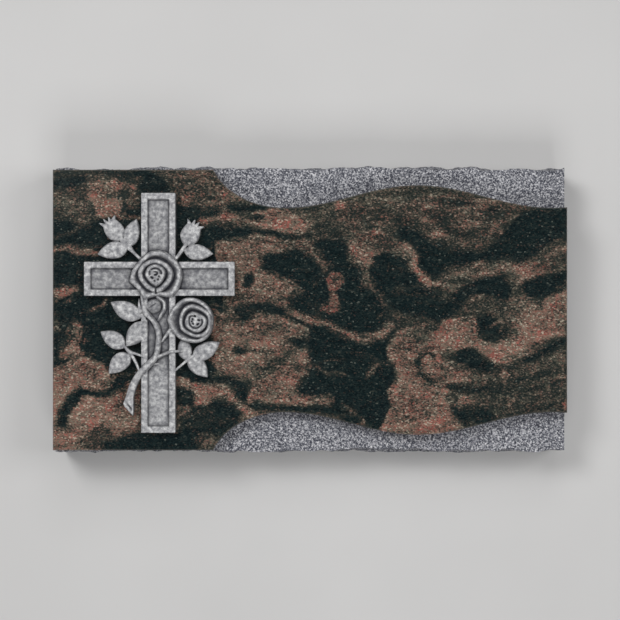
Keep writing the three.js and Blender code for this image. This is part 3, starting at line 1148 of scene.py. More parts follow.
@dataclass(frozen=True)
class Rim:
    """One ring of a rose's petals.

    Attributes:
        foot: The height at which its outer wall starts.
        top: The height of its lip.
        lip: Width of the lip.
        petals: X and y of the points of smooth lines that meet in corners, in turn.
        rounding: How often the corners are evened out.
        dark: How dark the bowl gets at the next rim's foot, as patina and painted shade.
        gloom: How soon it gets dark on the way there.
    """

    foot: float
    top: float
    lip: float
    petals: tuple[Row, ...]
    rounding: int = 2
    dark: float = 0.97
    gloom: float = 2.6

    def outline(self) -> Array:
        """Joins the petals to one closed outline.

        Returns:
            Its points, one row each.
        """
        lines = [smooth_line(np.reshape(petal, (-1, 2)), 7)[:-1] for petal in self.petals]
        line = np.vstack(lines)
        for _ in range(self.rounding):
            line = (np.roll(line, 1, axis=0) + 2 * line + np.roll(line, -1, axis=0)) / 4
        return line


@dataclass(frozen=True)
class Rose:
    """A rose: a nest of rims around a core with grooves and small pits.

    Attributes:
        rims: The rims from outside in.
        grooves: Lines that are cut in the core, as x, y and width of their points, in turn.
        pits: Short lines that are sunk deeper.
        beads: Short lines that stand out.
        marks: How much wider grooves, pits and beads are cut, and how deep.
        shoulder: Radius of a rim's outer arris.
        waves: Unevenness of the lips.
        wave_height: How high that is.
        inset: How far the outermost wall stands inside its outline.
        bowl: How soon a rim's inside falls to the next rim.
        roll: How far its lip rolls inward.
        roll_start: Share of the lip's width at which that starts.
        gloom_start: Share of it at which that darkening starts.
        outer_wall: How dark the painted shade is down the outermost rim's wall, and how wide.
        inner_wall: The same down the other rims' walls.
    """

    rims: tuple[Rim, ...]
    grooves: tuple[Row, ...]
    pits: tuple[Row, ...]
    beads: tuple[Row, ...] = ()
    marks: tuple[Point, ...] = ((0.35, 3.0), (0.35, 3.2), (0, -0.5))
    shoulder: float = 1.3
    waves: Grain = Grain(31, 9, 9, 2)
    wave_height: float = 0.25
    inset: float = 0.6
    bowl: float = 1.7
    roll: float = 5 / 3
    roll_start: float = 0.45
    gloom_start: float = 0.66
    outer_wall: Point = (0.2, 2.5)
    inner_wall: Point = (0.95, 0.9)

    def lay(self, relief: Relief) -> None:
        """Adds the rose to the relief.

        Args:
            relief: The relief.
        """
        outlines = [rim.outline() for rim in self.rims]
        at = relief.window(outlines[0], 3.0)
        x, y = relief.x[at], relief.y[at]
        depths = [depth_inside(x, y, outline) for outline in outlines]
        lip_wave = self.wave_height * (self.waves.at(x, y) - 1)
        for number, rim in enumerate(self.rims):
            depth = depths[number] if number else depths[0] - self.inset
            shoulder = self.shoulder * np.clip(1 - depth / self.shoulder, 0, 1) ** 2
            face = rim.top - shoulder + lip_wave
            dark = np.zeros(x.shape)
            if number + 1 < len(self.rims):
                beyond = np.maximum(depth - rim.lip, 0)
                short = np.maximum(-depths[number + 1], 0)
                share = beyond / np.maximum(beyond + short, 1e-3)
                sink = rim.top - self.rims[number + 1].foot
                face = face - sink * (1 - (1 - share) ** self.bowl)
                over = np.clip(depth / rim.lip - self.roll_start, 0, 1 - self.roll_start)
                face = face - self.roll * over**2
                # Patina and painted shade darken the bowl from the lip to the next rim's foot.
                run = np.maximum(depth - self.gloom_start * rim.lip, 0)
                gone = run / np.maximum(run + short, 1e-3)
                dark = rim.dark * (1 - (1 - gone) ** rim.gloom)
            height = np.where(depth > 0, face, rim.top - self.shoulder + relief.fall * depth)
            # Painted shade down each rim's outer wall.
            wall_shade, wall_width = self.inner_wall if number else self.outer_wall
            wall = wall_shade * eased(-depth, 0.0, wall_width)
            relief.lay(at, height, depths[0], np.where(depth > 0, dark, wall))
        for lines, (wider, depth) in zip((self.grooves, self.pits, self.beads), self.marks):
            for line in lines:
                relief.cut(smooth_line(np.reshape(line, (-1, 3)), 6) + (0, 0, wider), depth)


# All in the casting's own frame.
STEMS = (
    Stem((
        -15.4, -30, 14.5, 4.6, -13.7, -35.2, 15.5, 5.2, -8.2, -42.2, 16, 5, -2.8, -48.6, 16, 4.7,
        0.2, -57, 16, 4.6, 0.2, -66.4, 16, 4.7, -2.2, -81.1, 16, 5, -9.5, -90.2, 16, 6,
        -19.3, -100.5, 15.5, 6.6, -26.6, -112.7, 13.5, 7.6, -31, -127, 12, 8.4,
    )),
    Stem((-17.4, -18, 14, 2.4, -16.6, -26, 14.5, 3, -14, -34.5, 15, 4.6)),
    Stem((
        -0.8, -19.3, 14.5, 2.4, 5.6, -24.2, 14.5, 2.6, 6.4, -31.7, 14, 2.6, 2.8, -38.5, 13.5, 2.2,
        -0.1, -43.9, 12, 1.2,
    )),
    Stem((-20.5, -20.9, 10, 0.8, -20.3, -27, 12, 2.4, -19.2, -34.5, 14, 3.8)),
    Stem((
        -0.6, -83, 15, 2.8, 6.3, -80, 14.5, 2.4, 12.7, -77.8, 14.2, 2.4, 18.8, -77, 13.5, 2.4,
        25.9, -76.5, 12, 1.8,
    )),
    Stem((17, -98.2, 11.5, 2.2, 24, -92, 10.5, 2.3, 30, -87, 10, 3, 38, -81.5, 10, 4.2)),
    Stem((4.2, -66.3, 12, 1.6, 8, -60.5, 13.5, 2.6, 12.6, -54, 14, 3)),
    Stem((-35.9, -72, 9, 2.4, -31.2, -77.4, 10, 3.6, -24.5, -79.5, 12, 2.4, -16, -82.3, 13.5, 2.2)),
    Stem((-31.2, -77.4, 10, 3.4, -26, -85, 11.5, 3, -22.4, -92, 13, 2.4, -19.8, -98.5, 14, 2.4)),
    Stem((
        -39.8, 44.4, 9, 3, -38.2, 40.2, 9.2, 5, -31.4, 33.4, 9.5, 5.4, -26, 27.6, 10.5, 3,
        -17.5, 19.8, 13, 3.2,
    )),
    Stem((28.6, 36.2, 9.2, 3.4, 26.4, 32.4, 9.8, 3.8, 22.6, 27, 11, 3.2, 16.5, 18.4, 13.5, 3.2)),
    Stem((-22.2, -102.5, 12, 2.6, -24.6, -99.2, 11, 1.2)),
    Stem((-10.7, -93.5, 9.6, 1.4, -4.7, -90.8, 10.2, 1.6, -0.1, -90.3, 9.4, 1.2)),
)
ROSES = (
    Rose(
        rims=(
            Rim(0, 17.5, 4.2, (
                (
                    25.3, 1.9, 23.9, 12.4, 17.4, 21.5, 7.6, 28.3, -2.2, 29.7, -9.6, 28.1,
                    -17.8, 21.5, -24.2, 13.5, -28.1, 7.5, -30.7, -2.7,
                ),
                (-30.7, -2.7, -21, -11.9, -15, -21.7),
                (-15, -21.7, -2.1, -18.5, 14, -19.7),
                (14, -19.7, 21.5, -10.8, 25.3, 1.9),
            ), 1, 0.95, 1.7),
            Rim(12.5, 21, 4.4, (
                (
                    16.2, 5, 14.8, 9.8, 11.8, 13.8, 7.4, 17.2, 2, 19.6, -3.4, 20.4, -9.2, 19.2,
                    -15.2, 15.6, -19.2, 10.6, -20.6, 5.6, -19.4, 0.2, -15.9, -5.5, -9.9, -11.4,
                    -2, -14.8,
                ),
                (-2, -14.8, 3.8, -13, 10.4, -7.4, 14.8, -1, 16.2, 5),
            )),
            Rim(15.5, 23.5, 3.6, (
                (
                    -1.2, -8, 3.6, -4.2, 6.7, 0.8, 7.9, 5.8, 6.6, 9.9, 2.8, 13.3, -2.2, 14.7,
                    -6.5, 13.9, -10.3, 11.2, -12.6, 6.4, -12.2, 2.6, -10.1, -0.8, -6.2, -5,
                    -1.2, -8,
                ),
            )),
        ),
        grooves=(
            (
                -6.4, 9.6, 0.9, -3.9, 10.7, 1.3, -0.9, 10.7, 1.3, 1.8, 9.5, 1.2, 3.6, 7.6, 1.4,
                3.9, 5.8, 1.6,
            ),
            (-7.8, 8.2, 0.4, -8.2, 6.4, 0.9, -8, 4.2, 1.0),
            (-3.7, 7.3, 0.5, -0.9, 6.9, 1.2, -0.1, 5.7, 1.4, -1, 4.3, 1.4, -2.4, 3.9, 1.4),
        ),
        pits=(
            (-6.6, 1.7, 1.3, -5.0, 0.7, 1.7),
            (1.6, 2.8, 1.0, 1.9, 1.8, 1.1),
            (1.1, -0.4, 1.1, 0.7, -1.0, 1.2),
            (-3.0, -2.0, 1.0, -2.6, -2.6, 0.9),
        ),
        beads=(
            (-0.5, 2.1, 1.5, -0.1, 1.6, 1.5),
        ),
    ),
    Rose(
        rims=(
            Rim(0, 16, 3.4, (
                (
                    9.4, -43.3, 12.4, -51.7, 16.5, -57.9, 23.9, -64.5, 32, -67.3, 38.7, -68.3,
                    45.5, -67, 52.3, -62.5, 57.4, -53.7, 58.4, -40.8, 55, -31.4, 47.5, -24,
                    37.4, -20, 26.6, -21.2, 18.5, -27.4, 12.4, -35.4, 9.4, -43.3,
                ),
            ), 1, 0.95, 1.7),
            Rim(10.5, 19, 3.2, (
                (
                    24.4, -53.5, 29.8, -57.7, 37.9, -61.4, 43.3, -62, 49.3, -60.3, 54.7, -54.9,
                    56.4, -45.5, 55.4, -38.7, 50.7, -33.3, 43.3, -29.3, 35.9, -27.6, 29.1, -29.9,
                    24.4, -36.7, 22.7, -45.5, 24.4, -53.5,
                ),
            )),
            Rim(13, 21.5, 2.8, (
                (
                    36.5, -35.1, 42.5, -36.8, 49.9, -40.8, 51.6, -45.6, 49.9, -51, 44.5, -55.7,
                    39.1, -56.3, 33.8, -53.6, 29.7, -49.6, 29.4, -44.2, 31.8, -38.2, 36.5, -35.1,
                ),
            )),
        ),
        grooves=(
            (
                39.7, -39.6, 1.0, 36.3, -39.5, 1.0, 34.8, -39.9, 1.2, 33.6, -42, 1.1,
                33.6, -45.5, 1.0, 34.2, -48.3, 1.2, 36.3, -50.7, 1.2, 39.1, -52.2, 1.2,
                42.3, -51.9, 1.3, 44.3, -50.7, 1.0, 46.3, -48.9, 1.0, 47.4, -46, 1.2,
                46.7, -43.2, 1.1,
            ),
        ),
        pits=(
            (39.5, -39.3, 1.3, 39.9, -39.9, 1.3),
            (37.1, -42.4, 1.1, 37.1, -43.2, 1.2),
            (35.9, -45.1, 1.3, 36.2, -45.1, 1.3),
            (37.1, -47.1, 1.1, 37.8, -48.0, 1.2),
            (42.2, -48.7, 1.4, 43.2, -47.6, 1.1),
            (43.0, -43.7, 1.4, 44.3, -43.9, 1.4),
        ),
    ),
)


@dataclass
class Casting:
    """The cross with its roses, buds, leaves and stems, cast in one with a flat back.

    Attributes:
        origin: Where the middle of the crossing stands on the marker.
        back: Height of its flat back over the ground.
        tallest: Height of its highest point over its back.
        cross: The cross.
        hidden_bud: The bud behind the stems.
        leaves: The leaves.
        buds: The crowned buds.
        cut_end: The lower end of the main stem.
        stems: The stems.
        roses: The roses.
        notches: Floors of the two notches, and x, y and width of their points, in turn.
        skirt: Drops or heights of the rings of its wall, from the top down, and the painted shade
            on each, which darkens towards the foot.
        soft: How far its face is blurred.
        least: Lowest height of its face.
        arris: How far inside the outline the face's edge is read, and how far it is eased down.
        edge_least: Lowest height of that edge.
        gaps: Widths over which gaps are judged, and how strongly each counts.
        gap_start: Depth of a gap from which it is darkened, by patina and painted shade.
        gap_shade: How dark it gets.
        shade_soft: How far the forms' patina and painted shade are blurred.
    """

    origin: Point = (-161.1, 33.1)
    back: float = 80.3
    tallest: float = 23.75
    cross: LatinCross = LatinCross()
    hidden_bud: HiddenBud = HiddenBud()
    leaves: tuple[Blade, ...] = (
        Blade((-29.8, 34.5), (-23.5, 64.1), 10.4, 6.4, (9, 7.5)),
        Blade((-32.5, 32.9), (-65.4, 26.1), 8.4, 10, (9, 7.5)),
        Blade((26.6, 29.7), (58, 26.8), 8.5, 8.7, (9, 7.5)),
        Blade((-17.5, -41), (-51.2, -24.6), 10.6, 8.7, (14.5, 9)),
        Blade((-12.4, -45.8), (-34.5, -71.9), 9.1, 10.2, (15, 9.5)),
        Blade((-35.3, -72.9), (-62.1, -56.2), 8.4, 9.3, (9, 7.5)),
        Blade((-29.3, -80.4), (-53.2, -101), 7.7, 10.9, (9, 7.5)),
        Blade((29.8, -86.8), (25.5, -61.8), 7.4, 7.4, (10, 10)),
        Blade((35.6, -84.6), (64.9, -67.4), 8.8, 9.1, (10, 8)),
        Blade((31.4, -82.6), (52, -104.8), 9, 8, (10, 8)),
    )
    buds: tuple[CrownedBud, ...] = (
        CrownedBud(
            Blade((-39.6, 40.8), (-53.3, 60.3), 10, 10, (9.5, 10), BUD),
            ((-63.1, 59.1), (-58.7, 63.4), (-53.4, 65.4), (-46.7, 67.3)),
        ),
        CrownedBud(
            Blade((27.8, 34.8), (38.2, 57.2), 10, 10, (9.5, 10), BUD),
            ((31, 63.7), (38.6, 62.7), (43.2, 60.1), (48, 55.4)),
        ),
    )
    cut_end: CutEnd = CutEnd()
    stems: tuple[Stem, ...] = STEMS
    roses: tuple[Rose, ...] = ROSES
    notches: tuple[tuple[float, Row], ...] = (
        (9.0, (-12.4, -41.9, 1.4, -9.2, -45, 2.0, -6, -49.4, 1.2)),
        (14.5, (-2, -15.5, 1.6, -2, -9.5, 0.6)),
    )
    skirt: tuple[Point, ...] = ((-0.7, 0.1), (0.5, 0.55), (0, 0.8))
    soft: float = 0.36
    least: float = 1.5
    arris: Point = (0.45, 0.15)
    edge_least: float = 2.0
    gaps: tuple[Point, Point] = ((1.1, 0.38), (3.5, 0.13))
    gap_start: float = 0.06
    gap_shade: float = 0.9
    shade_soft: float = 0.3

    def relief(self) -> Relief:
        """Lays all forms over each other.

        Returns:
            The finished relief.
        """
        relief = Relief()
        forms = (self.cross, self.hidden_bud, *self.leaves, *self.buds, self.cut_end)
        for form in (*forms, *self.stems, *self.roses):
            form.lay(relief)
        for floor, line in self.notches:
            relief.cut(np.reshape(line, (-1, 3)), 0, floor)
        return relief

    @staticmethod
    def _kept(relief: Relief) -> Array:
        """Finds the cells inside the outline, without pairs that touch only at a corner.

        Args:
            relief: The relief.

        Returns:
            Which cells are kept, with one more row of cells all round.
        """
        reach = relief.reach
        kept = np.pad(reach[:-1, :-1] + reach[1:, :-1] + reach[:-1, 1:] + reach[1:, 1:] > 0, 1)
        for _ in range(6):
            rising = kept[:-1, :-1] & kept[1:, 1:] & ~kept[1:, :-1] & ~kept[:-1, 1:]
            falling = ~kept[:-1, :-1] & ~kept[1:, 1:] & kept[1:, :-1] & kept[:-1, 1:]
            kept[1:, :-1] |= rising
            kept[:-1, :-1] |= falling
        return kept

    def _face(self, relief: Relief, used: Array, rimmed: Array) -> Array:
        """Gives the points of the face, of which the outermost are moved onto the outline.

        Args:
            relief: The relief.
            used: Which points of the grid the face has.
            rimmed: Which of them are outermost.

        Returns:
            The points, one row each.
        """
        face = np.minimum(relief.softened(relief.height, self.soft), self.tallest)
        slopes = np.gradient(relief.reach, relief.step)
        x, y, z = relief.x.copy(), relief.y.copy(), np.maximum(face, self.least)
        for _ in range(3):
            here = relief.sampled(relief.reach, x[rimmed], y[rimmed])
            step_x, step_y = (relief.sampled(slope, x[rimmed], y[rimmed]) for slope in slopes)
            size = np.maximum(step_x**2 + step_y**2, 0.3)
            move = np.clip(here / size, -relief.step, relief.step)
            x[rimmed] -= move * step_x
            y[rimmed] -= move * step_y
        size = np.hypot(step_x, step_y) + 1e-6
        reach, drop = self.arris
        inner_x, inner_y = x[rimmed] + reach * step_x / size, y[rimmed] + reach * step_y / size
        z[rimmed] = np.maximum(relief.sampled(face, inner_x, inner_y) - drop, self.edge_least)
        return np.column_stack([x[used], y[used], z[used]])

    def _patina_and_painted_shade(self, relief: Relief) -> Array:
        """Judges how dark the face is painted, with patina and painted shade, by the forms' own
        darkening and by how deep each place lies.

        Args:
            relief: The relief.

        Returns:
            Shares from 0 on ridges to 1 in deep gaps.
        """
        near, wide = (
            share * (relief.softened(relief.height, width) - relief.height)
            for width, share in self.gaps
        )
        deep = np.clip(near + wide - self.gap_start, 0, self.gap_shade)
        return 1 - (1 - deep) * (1 - relief.softened(relief.shade, self.shade_soft))

    @staticmethod
    def _rim_edges(kept: Array, number: Array) -> Array:
        """Collects the edges round the kept cells, with the cells on their left.

        Args:
            kept: The padded cells.
            number: The point numbers of the grid.

        Returns:
            Pairs of point numbers.
        """
        pairs = []
        corners = ((0, 0), (1, 0), (1, 1), (0, 1), (0, 0))
        for (di, dj), start, end in zip(((0, -1), (1, 0), (0, 1), (-1, 0)), corners, corners[1:]):
            beside = np.roll(kept, (-di, -dj), (0, 1))
            i, j = np.nonzero((kept & ~beside)[1:-1, 1:-1])
            ends = [number[i + start[0], j + start[1]], number[i + end[0], j + end[1]]]
            pairs.append(np.column_stack(ends))
        return np.vstack(pairs)

    @staticmethod
    def _close_back(made: bpy.types.Object, first: int) -> None:
        """Closes the flat back of the casting.

        Args:
            made: The casting.
            first: The number of the first point of the back.
        """
        shape = bmesh.new()
        shape.from_mesh(made.data)
        shape.verts.ensure_lookup_table()
        open_edges = [e for e in shape.edges if e.is_boundary and e.verts[0].index >= first]
        filled = bmesh.ops.triangle_fill(
            shape, use_beauty=True, edges=open_edges, normal=(0, 0, -1)
        )
        for part in filled["geom"]:
            if isinstance(part, bmesh.types.BMFace):
                part.smooth = False
        for edge in open_edges:
            edge.smooth = False
        bmesh.ops.recalc_face_normals(shape, faces=shape.faces)
        shape.to_mesh(made.data)
        shape.free()

    def build(self) -> None:
        """Builds the casting as one closed mesh."""
        relief = self.relief()
        kept = self._kept(relief)
        count = kept[:-1, :-1].astype(int) + kept[1:, :-1] + kept[:-1, 1:] + kept[1:, 1:]
        used = count > 0
        points = self._face(relief, used, used & (count < 4))
        shade = self._patina_and_painted_shade(relief)[used]
        number = np.full(used.shape, -1)
        number[used] = np.arange(used.sum())
        faces = quads(number)[kept[1:-1, 1:-1].ravel()].tolist()
        edges = self._rim_edges(kept, number)
        ring = np.unique(edges)
        a, b = np.searchsorted(ring, edges).T
        upper, rim = ring, points[ring]
        # Painted shade on the wall's rings, darker towards its foot.
        for level, (height, dark) in enumerate(self.skirt):
            z = np.full(len(ring), height) if level else rim[:, 2] + height
            lower = len(points) + np.arange(len(ring))
            points = np.vstack([points, np.column_stack([rim[:, :2], z])])
            shade = np.concatenate([shade, np.full(len(ring), dark)])
            faces += np.column_stack([upper[b], upper[a], lower[a], lower[b]]).tolist()
            upper = lower
        points += (*self.origin, self.back)
        made = new_object("rose_cross_casting", points, faces, [CastGrey().material()])
        self._close_back(made, upper[0])
        store(made, "hollow", shade)
        joined_to_part(made, "rose_cross_ornament")


# The stones


class Band(Enum):
    """A kind of band in the granite, as its share of light crystals and how warm they are."""

    DARK = (-0.04, 0.3)
    OLIVE = (0.34, 0.2)
    BROWN = (0.43, 0.4)
    TAN = (0.67, 0.45)
    PINK = (0.77, 0.52)
    RED = (0.88, 0.98)


DARK, OLIVE, BROWN, TAN, PINK, RED = Band


@dataclass(frozen=True)
class Lens:
    """A patch of one kind of band inside a smooth closed line.

    Attributes:
        band: What it is made of.
        line: X and y of the points round it, in turn.
        tear: How much of the map's tearing its edge takes.
        margin: How far beyond its points it can show.
    """

    band: Band
    line: Row
    tear: ClassVar[float] = 1.0
    margin: ClassVar[float] = 7.0

    @property
    def knots(self) -> Array:
        """Gives the points round it, one row each."""
        return np.reshape(self.line, (-1, 2))

    def depth(self, x: Array, y: Array) -> Array:
        """Gives how far places lie inside it."""
        ring = np.vstack([self.knots, self.knots[:1]])
        return depth_inside(x, y, smooth_line(ring, 4)[:-1])


@dataclass(frozen=True)
class Streak:
    """A long thin band.

    Attributes:
        band: What it is made of.
        width: Its width.
        line: X and y of the points of its middle line, in turn.
        tear: How much of the map's tearing its edge takes.
        end_share: Width of its ends as a share of its own.
    """

    band: Band
    width: float
    line: Row
    tear: ClassVar[float] = 0.35
    end_share: ClassVar[float] = 0.3

    @property
    def knots(self) -> Array:
        """Gives the points of its middle line, one row each."""
        return np.reshape(self.line, (-1, 2))

    @property
    def margin(self) -> float:
        """Gives how far beyond its middle line it can show."""
        return self.width + 3

    def depth(self, x: Array, y: Array) -> Array:
        """Gives how far places lie inside it, where both ends are narrower.

        Args:
            x: Their x.
            y: Their y.

        Returns:
            The distances to its edge.
        """
        middle = smooth_line(self.knots, 4)
        taper = np.full((len(middle), 1), self.width)
        taper[[0, -1]] = self.end_share * self.width
        return along_line(x, y, np.hstack([middle, taper]))[0]


@dataclass(frozen=True)
class Spot:
    """A small round or long patch.

    Attributes:
        band: What it is made of.
        x: X of its middle.
        y: Y of its middle.
        along: Its length in x.
        across: Its width in y.
        tear: How much of the map's tearing its edge takes.
        margin: How far beyond its own box it can show.
    """

    band: Band
    x: float
    y: float
    along: float
    across: float
    tear: ClassVar[float] = 0.6
    margin: ClassVar[float] = 3.0

    @property
    def knots(self) -> Array:
        """Gives the two corners of the box round it."""
        half = np.array([self.along / 2, self.across / 2])
        return np.array([(self.x, self.y) - half, (self.x, self.y) + half])

    def depth(self, x: Array, y: Array) -> Array:
        """Gives how far places lie inside it."""
        off = np.hypot((x - self.x) / self.along, (y - self.y) / self.across) * 2
        return (1 - off) * min(self.along, self.across) / 2


Patch = Lens | Streak | Spot

